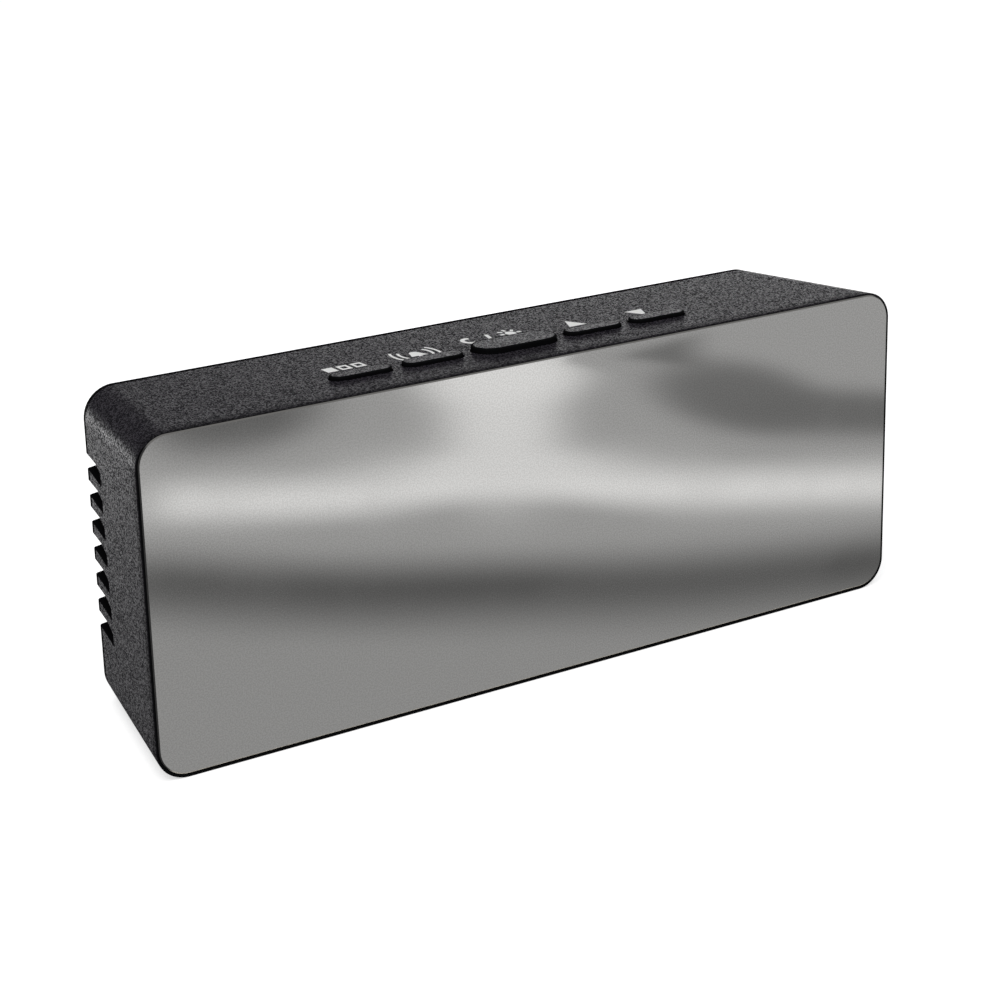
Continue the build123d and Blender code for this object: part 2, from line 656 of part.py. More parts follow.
# Rear cover with the battery tray and the power board's shelf moulded on
cover_seat = rear_facing(REAR_Y - COVER_COUNTERBORE_DEPTH)
with BuildPart() as rear_cover:
    extrude(case_section(REAR_Y, WALL + COVER_CLEARANCE), amount=COVER_THICKNESS)
    with BuildSketch(front_facing(COVER_FRONT_Y)):
        with Locations((0, cover_mid_z)):
            Rectangle(tray_length + 2 * TRAY_WALL, tray_height + 2 * TRAY_WALL)
    extrude(amount=tray_depth + TRAY_FLOOR)
    with BuildSketch(front_facing(COVER_FRONT_Y)):
        with Locations((0, cover_mid_z)):
            Rectangle(tray_length, tray_height)
    extrude(amount=tray_depth, mode=Mode.SUBTRACT)
    with BuildSketch(front_facing(REAR_Y)):
        with Locations((0, cover_mid_z)):
            Rectangle(opening_length, opening_height)
    extrude(amount=COVER_THICKNESS, mode=Mode.SUBTRACT)
    # sockets for the door's pins and a groove for its latch
    with Locations((0, hinge_y, hinge_z)):
        Cylinder(
            DOOR_PIN_RADIUS + DOOR_PIN_FIT,
            door_length + 2 * (DOOR_PIN_LENGTH + DOOR_CLEARANCE),
            rotation=(0, 90, 0),
            mode=Mode.SUBTRACT,
        )
    with Locations((0, hinge_y, cover_mid_z + opening_height / 2)):
        Cylinder(LATCH_RADIUS, LATCH_LENGTH + 2 * DOOR_CLEARANCE, rotation=(0, 90, 0), mode=Mode.SUBTRACT)
    # screw holes, with room for the heads
    with BuildSketch(rear_facing(COVER_FRONT_Y)):
        with Locations(*cover_boss_points):
            Circle(THROUGH_RADIUS)
    extrude(amount=COVER_THICKNESS, mode=Mode.SUBTRACT)
    with BuildSketch(cover_seat):
        with Locations(*cover_boss_points):
            Circle(SCREW_HEAD_RADIUS + COVER_COUNTERBORE_CLEARANCE)
    extrude(amount=COVER_COUNTERBORE_DEPTH, mode=Mode.SUBTRACT)
    # opening for the power socket
    with BuildSketch(rear_facing(COVER_FRONT_Y)):
        with Locations((-socket_x, SOCKET_Z)):
            SlotOverall(SOCKET_WIDTH + 2 * SOCKET_CLEARANCE, SOCKET_HEIGHT + 2 * SOCKET_CLEARANCE)
    extrude(amount=COVER_THICKNESS, mode=Mode.SUBTRACT)
    # two shelf brackets under the power board, with a pilot hole in each
    for side in (-1, 1):
        bracket_z = power_board_z - POWER_BOARD_THICKNESS - SHELF_HEIGHT / 2
        with Locations((socket_x + side * shelf_x, COVER_FRONT_Y - POWER_BOARD_DEPTH / 2, bracket_z)):
            Box(SHELF_WIDTH, POWER_BOARD_DEPTH, SHELF_HEIGHT)
        with Locations((socket_x + side * shelf_x, shelf_screw_y, bracket_z)):
            Cylinder(PILOT_RADIUS, SHELF_HEIGHT, mode=Mode.SUBTRACT)
save(rear_cover.part, "rear_cover")

save(screw_group(cover_seat, cover_boss_points, cover_screw_reach), "rear_cover_screws")

# Battery door: a plate with a round lower edge, two hinge pins, a latch ridge and finger grooves
with BuildPart() as battery_door:
    with BuildSketch(Plane.YZ.offset(-door_length / 2)):
        with Locations((hinge_y, (hinge_z + door_top_z) / 2)):
            Rectangle(door_thickness, door_top_z - hinge_z)
        with Locations((hinge_y, hinge_z)):
            Circle(door_thickness / 2)
    extrude(amount=door_length)
    with Locations((0, hinge_y, hinge_z)):
        Cylinder(DOOR_PIN_RADIUS, door_length + 2 * DOOR_PIN_LENGTH, rotation=(0, 90, 0))
    with Locations((0, hinge_y, door_top_z + LATCH_RISE - LATCH_RADIUS)):
        Cylinder(LATCH_RADIUS, LATCH_LENGTH, rotation=(0, 90, 0))
    grip_z = door_top_z - GRIP_MARGIN - (GRIP_COUNT - 1) * GRIP_PITCH / 2
    with BuildSketch(rear_facing(REAR_Y)):
        with Locations((0, grip_z)):
            with GridLocations(0, GRIP_PITCH, 1, GRIP_COUNT):
                SlotOverall(GRIP_LENGTH, GRIP_WIDTH)
    extrude(amount=-GRIP_DEPTH, mode=Mode.SUBTRACT)
save(battery_door.part, "battery_door")

# Cells, head to tail, with a contact plate at each button and a bowed leaf at each foot
with BuildPart() as battery_cells:
    for z, way in cell_rows:
        button_end = way * (tray_length / 2 - CONTACT_THICKNESS - CELL_FIT)
        body_length = CELL_LENGTH - CELL_BUTTON_LENGTH
        body_x = button_end - way * (CELL_BUTTON_LENGTH + body_length / 2)
        with Locations((body_x, cell_y, z)):
            Cylinder(CELL_DIAMETER / 2, body_length, rotation=(0, 90, 0))
        with Locations((button_end - way * CELL_BUTTON_LENGTH / 2, cell_y, z)):
            Cylinder(CELL_BUTTON_DIAMETER / 2, CELL_BUTTON_LENGTH, rotation=(0, 90, 0))
save(battery_cells.part, "battery_cells")

with BuildPart() as battery_contacts:
    for z, way in cell_rows:
        with Locations((way * (tray_length - CONTACT_THICKNESS) / 2, cell_y, z)):
            Box(CONTACT_THICKNESS, CONTACT_SIZE, CONTACT_SIZE)
save(battery_contacts.part, "battery_contacts")

with BuildPart() as battery_springs:
    for z, way in cell_rows:
        foot_x = -way * tray_length / 2
        crest_x = foot_x + way * LEAF_DEPTH
        inner_x = crest_x - way * LEAF_THICKNESS
        half_span = LEAF_SPAN / 2
        half_bore = half_span - LEAF_THICKNESS
        with BuildSketch(front_facing(cell_y + LEAF_WIDTH / 2)):
            with BuildLine():
                ThreePointArc((foot_x, z - half_span), (crest_x, z), (foot_x, z + half_span))
                Line((foot_x, z + half_span), (foot_x, z + half_bore))
                ThreePointArc((foot_x, z + half_bore), (inner_x, z), (foot_x, z - half_bore))
                Line((foot_x, z - half_bore), (foot_x, z - half_span))
            make_face()
        extrude(amount=LEAF_WIDTH)
save(battery_springs.part, "battery_springs")

# Power socket: an oval steel shell round a contact tongue, on a small board
with BuildPart() as socket_shell:
    with BuildSketch(rear_facing(socket_mouth_y)):
        with Locations((-socket_x, SOCKET_Z)):
            SlotOverall(SOCKET_WIDTH, SOCKET_HEIGHT)
            SlotOverall(SOCKET_WIDTH - 2 * SOCKET_WALL, SOCKET_HEIGHT - 2 * SOCKET_WALL, mode=Mode.SUBTRACT)
    extrude(amount=-SOCKET_LENGTH)
save(socket_shell.part, "socket_shell")

with BuildPart() as socket_tongue:
    core_width = SOCKET_WIDTH - 2 * (SOCKET_WALL + TONGUE_FIT)
    core_height = SOCKET_HEIGHT - 2 * (SOCKET_WALL + TONGUE_FIT)
    with BuildSketch(rear_facing(socket_mouth_y - SOCKET_LENGTH)):
        with Locations((-socket_x, SOCKET_Z)):
            SlotOverall(core_width, core_height)
    extrude(amount=SOCKET_BASE)
    with BuildSketch(rear_facing(socket_mouth_y - SOCKET_LENGTH + SOCKET_BASE)):
        with Locations((-socket_x, SOCKET_Z)):
            Rectangle(TONGUE_WIDTH, TONGUE_THICKNESS)
    extrude(amount=TONGUE_LENGTH)
save(socket_tongue.part, "socket_tongue")

shelf_screw_points = [(socket_x - shelf_x, shelf_screw_y), (socket_x + shelf_x, shelf_screw_y)]
with BuildPart() as power_board:
    with BuildSketch(Plane.XY.offset(power_board_z)):
        with Locations((socket_x, COVER_FRONT_Y - POWER_BOARD_DEPTH / 2)):
            Rectangle(POWER_BOARD_WIDTH, POWER_BOARD_DEPTH)
        with Locations(*shelf_screw_points):
            Circle(THROUGH_RADIUS, mode=Mode.SUBTRACT)
    extrude(amount=-POWER_BOARD_THICKNESS)
save(power_board.part, "power_board")

shelf_screws = screw_group(
    Plane.XY.offset(power_board_z),
    shelf_screw_points,
    POWER_BOARD_THICKNESS + SCREW_BITE,
)
save(shelf_screws, "power_board_screws")

# Two leads that rise from the power board and bend forward to the back of the display board
lead_y = power_board_front_y + LEAD_SETBACK
lead_z = power_board_z + LEAD_RISE
for lead_name, side in (("red_lead", -1), ("black_lead", 1)):
    lead_x = socket_x + side * LEAD_PITCH / 2
    with BuildPart() as lead:
        with BuildLine():
            FilletPolyline(
                (lead_x, lead_y, power_board_z),
                (lead_x, lead_y, lead_z),
                (lead_x, BOARD_BACK_Y, lead_z),
                radius=LEAD_BEND,
            )
        with BuildSketch(Plane.XY.offset(power_board_z)):
            with Locations((lead_x, lead_y)):
                Circle(LEAD_RADIUS)
        sweep()
    save(lead.part, lead_name)

print(f"top slope {degrees(slope):.3f} degrees, key axis (0, {-sin(slope):.5f}, {-cos(slope):.5f})")
print(f"door hinge at y {hinge_y:.3f}, z {hinge_z:.3f}")
print(f"socket at x {socket_x:.3f}")
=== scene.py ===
"""Looks of a mirror alarm clock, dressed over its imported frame.

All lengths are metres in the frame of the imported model: X runs to the right seen from the
front, the mirror faces -Y, Z is up and the origin is on the table under the middle of the clock.
"""

import json
import logging
import math
from abc import ABC, abstractmethod
from collections.abc import Iterable, Sequence
from dataclasses import dataclass, replace
from enum import Enum
from functools import partialmethod

import bmesh
import bpy
from mathutils import Matrix, Vector


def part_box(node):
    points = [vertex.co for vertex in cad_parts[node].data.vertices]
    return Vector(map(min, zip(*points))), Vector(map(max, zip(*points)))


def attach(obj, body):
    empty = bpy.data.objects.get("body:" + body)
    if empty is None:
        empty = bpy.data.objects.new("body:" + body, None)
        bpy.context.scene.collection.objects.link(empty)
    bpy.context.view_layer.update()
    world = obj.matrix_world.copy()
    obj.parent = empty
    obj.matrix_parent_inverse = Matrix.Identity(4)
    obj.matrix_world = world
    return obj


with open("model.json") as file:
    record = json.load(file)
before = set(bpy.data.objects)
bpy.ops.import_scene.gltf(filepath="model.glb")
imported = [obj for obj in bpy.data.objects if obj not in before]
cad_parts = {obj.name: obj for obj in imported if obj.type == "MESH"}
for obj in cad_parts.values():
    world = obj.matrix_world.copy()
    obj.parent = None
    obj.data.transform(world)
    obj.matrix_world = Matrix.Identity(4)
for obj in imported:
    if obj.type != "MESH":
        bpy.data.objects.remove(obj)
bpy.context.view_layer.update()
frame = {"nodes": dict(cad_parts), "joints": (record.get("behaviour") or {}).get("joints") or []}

LOG = logging.getLogger("mirror_clock")
MM = 0.001
Triple = tuple[float, float, float]
Colour = Triple
Pair = tuple[float, float]
Socket = bpy.types.NodeSocket
Outputs = bpy.types.NodeOutputs
Source = Socket | float | Sequence[float]
Inputs = dict[str | int, Source]


class Graph:
    """Fills a shader node tree with short calls."""

    def __init__(self, tree: bpy.types.NodeTree) -> None:
        """Takes over an existing tree."""
        self.tree = tree

    def fill(self, node: bpy.types.Node, inputs: Inputs) -> None:
        """Links a node's inputs to other sockets, or sets their values.

        Args:
            node: The node.
            inputs: A socket, number or colour for each input, by its name or place.
        """
        for key, source in inputs.items():
            target = node.inputs[key]
            if isinstance(source, Socket):
                self.tree.links.new(source, target)
            else:
                target.default_value = (*source, 1.0) if target.type == "RGBA" else source

    def node(self, kind: str, inputs: Inputs, **settings: object) -> bpy.types.Node:
        """Adds a node.

        Args:
            kind: Type of the node, without its ShaderNode prefix.
            inputs: What its inputs are filled with.
            settings: Properties of the node by name.

        Returns:
            The new node.
        """
        node = self.tree.nodes.new(f"ShaderNode{kind}")
        for name, value in settings.items():
            setattr(node, name, value)
        self.fill(node, inputs)
        return node

    def math(self, operation: str, *terms: Source) -> Socket:
        """Adds a Math node and returns its result."""
        return self.node("Math", dict(enumerate(terms)), operation=operation).outputs[0]

    # Short names for the operations that are used most
    times = partialmethod(math, "MULTIPLY")
    minus = partialmethod(math, "SUBTRACT")
    most = partialmethod(math, "MAXIMUM")

    def squares(self, first: Source, second: Source) -> Socket:
        """Returns the sum of two squares."""
        return self.math("MULTIPLY_ADD", first, first, self.times(second, second))

    def mix(self, factor: Source, low: Source, high: Source) -> Socket:
        """Mixes two colours: a factor of 0 gives the first, 1 the second."""
        return self.node("Mix", {0: factor, 6: low, 7: high}, data_type="RGBA").outputs[2]

    def blend(self, factor: Source, low: Source, high: Source) -> Socket:
        """Mixes two numbers in the same way."""
        return self.node("Mix", {0: factor, 2: low, 3: high}, data_type="FLOAT").outputs[0]

    def remap(self, value: Source, start: float, end: float, low: float = 0.0, high: float = 1.0,
              easing: str = "SMOOTHSTEP") -> Socket:
        """Maps a value from the range of start and end to that of low and high, and holds it there."""
        terms = dict(enumerate((value, start, end, low, high)))
        return self.node("MapRange", terms, interpolation_type=easing).outputs[0]

    def noise(self, point: Source, scale: float, detail: float = 2.0, roughness: float = 0.5) -> Socket:
        """Adds a noise texture and returns its value, from 0 to 1."""
        inputs: Inputs = {"Vector": point, "Scale": scale, "Detail": detail, "Roughness": roughness}
        return self.node("TexNoise", inputs).outputs[0]

    def cells(self, point: Source, scale: float, randomness: float = 1.0) -> Outputs:
        """Adds a Voronoi texture and returns its outputs."""
        inputs: Inputs = {"Vector": point, "Scale": scale, "Randomness": randomness}
        return self.node("TexVoronoi", inputs).outputs

    def bump(self, height: Source, distance: float) -> Socket:
        """Turns a height into a normal; a height of 1 measures the distance."""
        return self.node("Bump", {"Strength": 1.0, "Distance": distance, "Height": height}).outputs[0]

    def place(self) -> Socket:
        """Returns the piece's own coordinates."""
        return self.node("TexCoord", {}).outputs["Object"]

    def facing(self) -> Socket:
        """Returns the surface's direction in the piece's own frame."""
        return self.node("TexCoord", {}).outputs["Normal"]

    def parts(self, vector: Source) -> Outputs:
        """Returns the X, Y and Z of a vector."""
        return self.node("SeparateXYZ", {0: vector}).outputs

    def looking(self, axis: str, start: float, end: float) -> Socket:
        """Returns a step from 0 to 1 in one part of the surface's direction."""
        return self.remap(self.parts(self.facing())[axis], start, end)

    def along(self, vector: Source, way: Source) -> Socket:
        """Returns how far a vector goes along a direction."""
        return self.node("VectorMath", {0: vector, 1: way}, operation="DOT_PRODUCT").outputs["Value"]

    def stretch(self, point: Source, factors: Triple) -> Socket:
        """Returns a point with each of its parts scaled."""
        return self.node("VectorMath", {0: point, 1: factors}, operation="MULTIPLY").outputs[0]

    def in_units(self, point: Source, size: Source) -> Socket:
        """Returns a point counted in units of a size."""
        scale = self.math("DIVIDE", 1.0, size)
        return self.node("VectorMath", {0: point, "Scale": scale}, operation="SCALE").outputs[0]


class Effect(Enum):
    """Surface effects that several finishes share."""

    SPARK_GRAIN = "spark_grain"
    EDGE_WEAR = "edge_wear"
    HANDLING = "handling"
    SETTLED_DUST = "settled_dust"


class SharedEffects:
    """Node groups for the shared effects, each built when it is first placed."""

    GRAIN_STRETCH: Triple = (1.0, 0.6, 1.0)
    RUB_SCALE: float = 0.6 / MM
    SPECK_SCALE: float = 0.4 / MM

    def __init__(self) -> None:
        """Starts with no groups."""
        self.groups: dict[Effect, bpy.types.NodeTree] = {}

    def put(self, graph: Graph, effect: Effect, **inputs: float) -> Outputs:
        """Places an effect in a material.

        Args:
            graph: The material's nodes.
            effect: Which effect.
            inputs: Values of the effect's inputs by name.

        Returns:
            The effect's outputs.
        """
        if effect not in self.groups:
            self.groups[effect] = getattr(self, f"make_{effect.value}")()
        return graph.node("Group", inputs, node_tree=self.groups[effect]).outputs

    @staticmethod
    def group(effect: Effect, value: str, results: Sequence[str]) -> tuple[Graph, Socket, bpy.types.Node]:
        """Starts a node group.

        Args:
            effect: The effect that it makes.
            value: Name of its input.
            results: Names of its outputs.

        Returns:
            The group's nodes, its input and the node that takes its results.
        """
        tree = bpy.data.node_groups.new(effect.value, "ShaderNodeTree")
        tree.interface.new_socket(value, in_out="INPUT", socket_type="NodeSocketFloat")
        for result in results:
            tree.interface.new_socket(result, in_out="OUTPUT", socket_type="NodeSocketFloat")
        entry = tree.nodes.new("NodeGroupInput")
        return Graph(tree), entry.outputs[0], tree.nodes.new("NodeGroupOutput")

    def make_spark_grain(self) -> bpy.types.NodeTree:
        """Makes the fine pitted grain of a spark-eroded mould, longer in Y, and returns the group; its tone
        is random per cell and partly a painted glint, lighter where the grain swells.
        """
        graph, size, leaving = self.group(Effect.SPARK_GRAIN, "Size", ("Height", "ToneAndGlint"))
        point = graph.in_units(graph.stretch(graph.place(), self.GRAIN_STRETCH), size)
        swell = graph.noise(point, 2.0, 1.0)
        cells = graph.cells(point, 1.0)
        # painted glint: a random tone per cell, lighter where the swell also raises the grain
        lit = graph.math("MULTIPLY_ADD", graph.parts(cells["Color"])["X"], 0.8, swell)
        height = graph.math("MULTIPLY_ADD", cells["Distance"], -0.4, swell)
        graph.fill(leaving, {"Height": height, "ToneAndGlint": graph.remap(lit, 0.82, 1.16)})
        return graph.tree

    def make_edge_wear(self) -> bpy.types.NodeTree:
        """Makes the rubbed line along outer edges and returns the group."""
        graph, radius, leaving = self.group(Effect.EDGE_WEAR, "Radius", ("Mask",))
        rounded = graph.node("Bevel", {"Radius": radius}, samples=4).outputs[0]
        agree = graph.along(rounded, graph.node("NewGeometry", {}).outputs["Normal"])
        rub = graph.remap(graph.noise(graph.place(), self.RUB_SCALE, 3.0), 0.38, 0.6)
        graph.fill(leaving, {"Mask": graph.times(graph.remap(agree, 0.98, 0.8), rub)})
        return graph.tree

    def make_handling(self) -> bpy.types.NodeTree:
        """Makes the broad uneven sheen that handling leaves and returns the group."""
        graph, size, leaving = self.group(Effect.HANDLING, "Size", ("Mask",))
        cloud = graph.noise(graph.in_units(graph.place(), size), 1.0, 4.0, 0.55)
        graph.fill(leaving, {"Mask": graph.remap(cloud, 0.32, 0.68)})
        return graph.tree

    def make_settled_dust(self) -> bpy.types.NodeTree:
        """Makes sparse specks on what faces up and returns the group."""
        graph, amount, leaving = self.group(Effect.SETTLED_DUST, "Amount", ("Mask",))
        cells = graph.cells(graph.place(), self.SPECK_SCALE)
        speck = graph.remap(cells["Distance"], 0.07, 0.03)
        chosen = graph.math("LESS_THAN", graph.parts(cells["Color"])["X"], amount)
        lying = graph.times(speck, chosen)
        graph.fill(leaving, {"Mask": graph.times(lying, graph.looking("Z", 0.7, 0.95))})
        return graph.tree


EFFECTS = SharedEffects()


@dataclass(frozen=True)
class Finish(ABC):
    """A surface finish, which makes one material."""

    name: str

    @abstractmethod
    def paint(self, graph: Graph) -> Inputs:
        """Builds the finish.

        Args:
            graph: The material's nodes.

        Returns:
            What the inputs of its Principled shader are filled with.
        """

    def material(self) -> bpy.types.Material:
        """Returns a new material with this finish."""
        material = bpy.data.materials.new(self.name)
        material.use_nodes = True
        graph = Graph(material.node_tree)
        graph.fill(material.node_tree.nodes["Principled BSDF"], self.paint(graph))
        return material


@dataclass(frozen=True)
class PolishAndShade(ABC):
    """The places of a moulding where the mould has polish instead of being eroded; the same places get a
    painted shade, a near-black colour.
    """

    @abstractmethod
    def mask(self, graph: Graph) -> Socket:
        """Finds the places with polish, which also get the painted shade.

        Args:
            graph: The material's nodes.

        Returns:
            The mask, 1 where the surface has polish and painted shade.
        """


@dataclass(frozen=True)
class CasePolishAndShade(PolishAndShade):
    """Places with polish and a near-black painted shade: the case's front and the lip round it, its rear
    edge and the shelves of its vents.

    Front and rear are the depths of the case's ends, and the tops are heights.
    """

    front: float
    rear: float
    front_top: float = 56.2 * MM
    front_fade: float = 1.6 * MM
    lip_band: float = 3.0 * MM
    lip_share: float = 0.5
    edge_band: float = 1.6 * MM
    edge_fade: float = 0.2 * MM
    shelf_top: float = 50.0 * MM
    shelf_fade: float = 1.0 * MM

    def mask(self, graph: Graph) -> Socket:
        """Finds the places with polish and painted shade by where they are and the way they face.

        Args:
            graph: The material's nodes.

        Returns:
            The mask, 1 where the surface has polish and painted shade.
        """
        place = graph.parts(graph.place())
        # painted shade on the front rim below its top rounding, standing for the dark gap beside the mirror
        low = graph.remap(place["Z"], self.front_top, self.front_top - self.front_fade)
        front = graph.times(graph.looking("Y", -0.8, -0.95), low)
        # painted shade on a band along the rear edge
        edge_start = self.rear - self.edge_band
        edge = graph.remap(place["Y"], edge_start, edge_start + self.edge_fade)
        # painted shade at half strength, growing towards the front lip
        lip = graph.remap(place["Y"], self.front + self.lip_band, self.front, 0.0, self.lip_share)
        # painted shade on the shelves of the vents
        inside = graph.remap(place["Z"], self.shelf_top, self.shelf_top - self.shelf_fade)
        shelf = graph.times(graph.looking("Z", 0.6, 0.8), inside)
        return graph.most(graph.most(front, graph.most(edge, lip)), shelf)


@dataclass(frozen=True)
class KeyPolishAndShade(PolishAndShade):
    """Places with polish and a near-black painted shade: the walls of a key with round ends, and the rim of
    its top between two corners.
    """

    low: Pair
    high: Pair
    rim: float = 0.55 * MM

    def mask(self, graph: Graph) -> Socket:
        """Finds the walls by the way they face, and the rim by its distance from the key's long axis.

        Args:
            graph: The material's nodes.

        Returns:
            The mask, 1 where the surface has polish and painted shade.
        """
        middle_x, middle_y = ((start + end) / 2 for start, end in zip(self.low, self.high))
        radius = (self.high[1] - self.low[1]) / 2
        straight = (self.high[0] - self.low[0]) / 2 - radius
        place = graph.parts(graph.place())
        aside = graph.math("ABSOLUTE", graph.minus(place["X"], middle_x))
        beyond = graph.most(graph.minus(aside, straight), 0.0)
        away = graph.math("SQRT", graph.squares(beyond, graph.minus(place["Y"], middle_y)))
        # painted shadow line round the rim of the key's top, along the gap beside the key
        edge = graph.remap(away, radius - self.rim, radius - 0.5 * self.rim)
        # painted shade on the key's walls, which face less upward
        return graph.most(graph.looking("Z", 0.8, 0.6), edge)


@dataclass(frozen=True)
class SparkPlastic(Finish):
    """Moulded plastic with a spark-eroded grain and a little dust; where its mould has polish it is smooth
    and painted with a near-black shade.
    """

    dark_tone: Colour
    glint_tone: Colour
    depth: float
    # places with polish, which also get the painted shade
    polish: PolishAndShade | None = None
    grain: float = 0.19 * MM
    satin: float = 0.32
    matt: float = 0.4
    sheen_size: float = 22.0 * MM
    smooth_coat: float = 0.02
    dim_coat: float = 0.1
    full_coat: float = 1.0
    coat_roughness: float = 0.28
    # near-black colour of the painted shade
    painted_shade_colour: Colour = (0.004, 0.004, 0.0045)
    dust: Colour = (0.32, 0.31, 0.3)
    dust_amount: float = 0.012
    dust_cover: float = 0.7

    def paint(self, graph: Graph) -> Inputs:
        """Lays the grain and the dust, and takes both off where the mould has polish; there it paints a
        near-black shade and dims the coat.

        Args:
            graph: The material's nodes.

        Returns:
            The shader's inputs.
        """
        grain = EFFECTS.put(graph, Effect.SPARK_GRAIN, Size=self.grain)
        sheen = EFFECTS.put(graph, Effect.HANDLING, Size=self.sheen_size)["Mask"]
        dust = EFFECTS.put(graph, Effect.SETTLED_DUST, Amount=self.dust_amount)["Mask"]
        # random grain tone, partly a painted glint
        colour = graph.mix(grain["ToneAndGlint"], self.dark_tone, self.glint_tone)
        colour = graph.mix(graph.times(dust, self.dust_cover), colour, self.dust)
        coat = graph.blend(grain["ToneAndGlint"], self.dim_coat, self.full_coat)
        height = grain["Height"]
        if self.polish:
            # painted shade: near-black colour and a dim coat where the mask says
            unshaded_grain = graph.minus(1.0, self.polish.mask(graph))
            colour = graph.mix(unshaded_grain, self.painted_shade_colour, colour)
            coat = graph.blend(unshaded_grain, self.smooth_coat, coat)
            height = graph.times(height, unshaded_grain)
        return {
            "Base Color": colour,
            "Roughness": graph.remap(sheen, 0.0, 1.0, self.satin, self.matt),
            "Specular IOR Level": 0.0,
            "Coat Weight": coat,
            "Coat Roughness": self.coat_roughness,
            "Normal": graph.bump(height, self.depth),
        }


@dataclass(frozen=True)
class SilverMirror(Finish):
    """Silvered sheet: mirror on its face, a ground bevel that is dim metal at its top, painted dark as shade
    at its sides and painted light as a highlight at its bottom, and edges with polish whose black is a
    painted shade.
    """

    silver: Colour = (0.715, 0.71, 0.697)
    mist: Colour = (0.615, 0.61, 0.597)
    ground: Colour = (0.32, 0.312, 0.3)
    # painted highlight: light warm colour of the downward bevel
    cut: Colour = (0.85, 0.79, 0.69)
    # painted shade: dark colours of the side bevels and of the edges
    bevel: Colour = (0.03, 0.028, 0.026)
    edge: Colour = (0.006, 0.006, 0.007)
    grit_scale: float = 4.0 / MM
    cloud_size: float = 35.0 * MM
    wave_length: float = 30.0 * MM
    wave_height: float = 1.2e-6

    def paint(self, graph: Graph) -> Inputs:
        """Tells face, bevel and edges apart by the way they face, and by that way paints shade on the side
        bevels and edges and a highlight on the lower bevel.

        Args:
            graph: The material's nodes.

        Returns:
            The shader's inputs.
        """
        bevel = graph.looking("Y", -0.3, -0.5)
        level = graph.times(bevel, graph.looking("Z", 0.45, 0.65))
        under = graph.times(bevel, graph.looking("Z", -0.45, -0.65))
        flat = graph.looking("Y", -0.9, -0.97)
        face = graph.most(flat, level)
        grit = graph.noise(graph.place(), self.grit_scale)
        # painted shade: side bevels dark, edges near black
        dull = graph.mix(bevel, self.edge, graph.mix(grit, self.bevel, self.edge))
        # painted highlight: the downward bevel light and warm
        dull = graph.mix(under, dull, graph.mix(graph.remap(grit, 0.5, 0.7), self.cut, self.ground))
        silver = graph.mix(graph.remap(grit, 0.4, 0.6), self.silver, self.mist)
        bright = graph.mix(flat, self.ground, silver)
        cloud = EFFECTS.put(graph, Effect.HANDLING, Size=self.cloud_size)["Mask"]
        polish = graph.remap(cloud, 0.0, 1.0, 0.03, 0.05)
        wave = graph.noise(graph.place(), 1.0 / self.wave_length, 1.0)
        return {
            "Base Color": graph.mix(face, dull, bright),
            "Metallic": face,
            "Roughness": graph.math("MULTIPLY_ADD", graph.minus(1.0, face), 0.3, polish),
            "Normal": graph.bump(wave, self.wave_height),
        }


@dataclass(frozen=True)
class PrintInk(Finish):
    """Screen-printed ink with an uneven body."""

    full: Colour = (0.86, 0.86, 0.85)
    thin: Colour = (0.6, 0.6, 0.6)
    patch_scale: float = 2.2 / MM
    relief: float = 0.01 * MM

    def paint(self, graph: Graph) -> Inputs:
        """Thins the ink in small patches.

        Args:
            graph: The material's nodes.

        Returns:
            The shader's inputs.
        """
        body = graph.noise(graph.place(), self.patch_scale, 3.0, 0.6)
        return {
            "Base Color": graph.mix(graph.remap(body, 0.6, 0.78), self.full, self.thin),
            "Roughness": graph.remap(body, 0.3, 0.7, 0.42, 0.62),
            "Normal": graph.bump(body, self.relief),
        }


@dataclass(frozen=True)
class SmoothPlastic(Finish):
    """Plain moulding or coating whose colour, sheen and surface drift a little."""

    colour: Colour
    shade: Colour
    drift: float
    gloss: float
    dull: float
    ripple: float = 0.012 * MM

    def paint(self, graph: Graph) -> Inputs:
        """Lets one slow cloud and one fine grain change colour, sheen and surface.

        Args:
            graph: The material's nodes.

        Returns:
            The shader's inputs.
        """
        cloud = EFFECTS.put(graph, Effect.HANDLING, Size=self.drift)["Mask"]
        grain = graph.noise(graph.place(), 1.6 / self.drift, 5.0, 0.65)
        return {
            "Base Color": graph.mix(cloud, self.colour, self.shade),
            "Roughness": graph.remap(grain, 0.3, 0.7, self.gloss, self.dull),
            "Normal": graph.bump(grain, self.ripple),
        }


@dataclass(frozen=True)
class OpenFoam(Finish):
    """Foam tape with burst cells, darker in the middle of each as painted shade."""

    wall: Colour = (0.03, 0.03, 0.03)
    pit_shade: Colour = (0.006, 0.006, 0.006)
    cell: float = 0.25 * MM
    pit_depth: float = 0.08 * MM

    def paint(self, graph: Graph) -> Inputs:
        """Sinks a hollow in each cell and paints it darker as shade.

        Args:
            graph: The material's nodes.

        Returns:
            The shader's inputs.
        """
        depth = graph.cells(graph.place(), 1.0 / self.cell)["Distance"]
        return {
            # painted shade: darker towards the middle of each cell's hollow
            "Base Color": graph.mix(graph.remap(depth, 0.1, 0.5), self.pit_shade, self.wall),
            "Roughness": graph.remap(depth, 0.0, 0.6, 0.8, 0.95),
            "Normal": graph.bump(depth, self.pit_depth),
        }


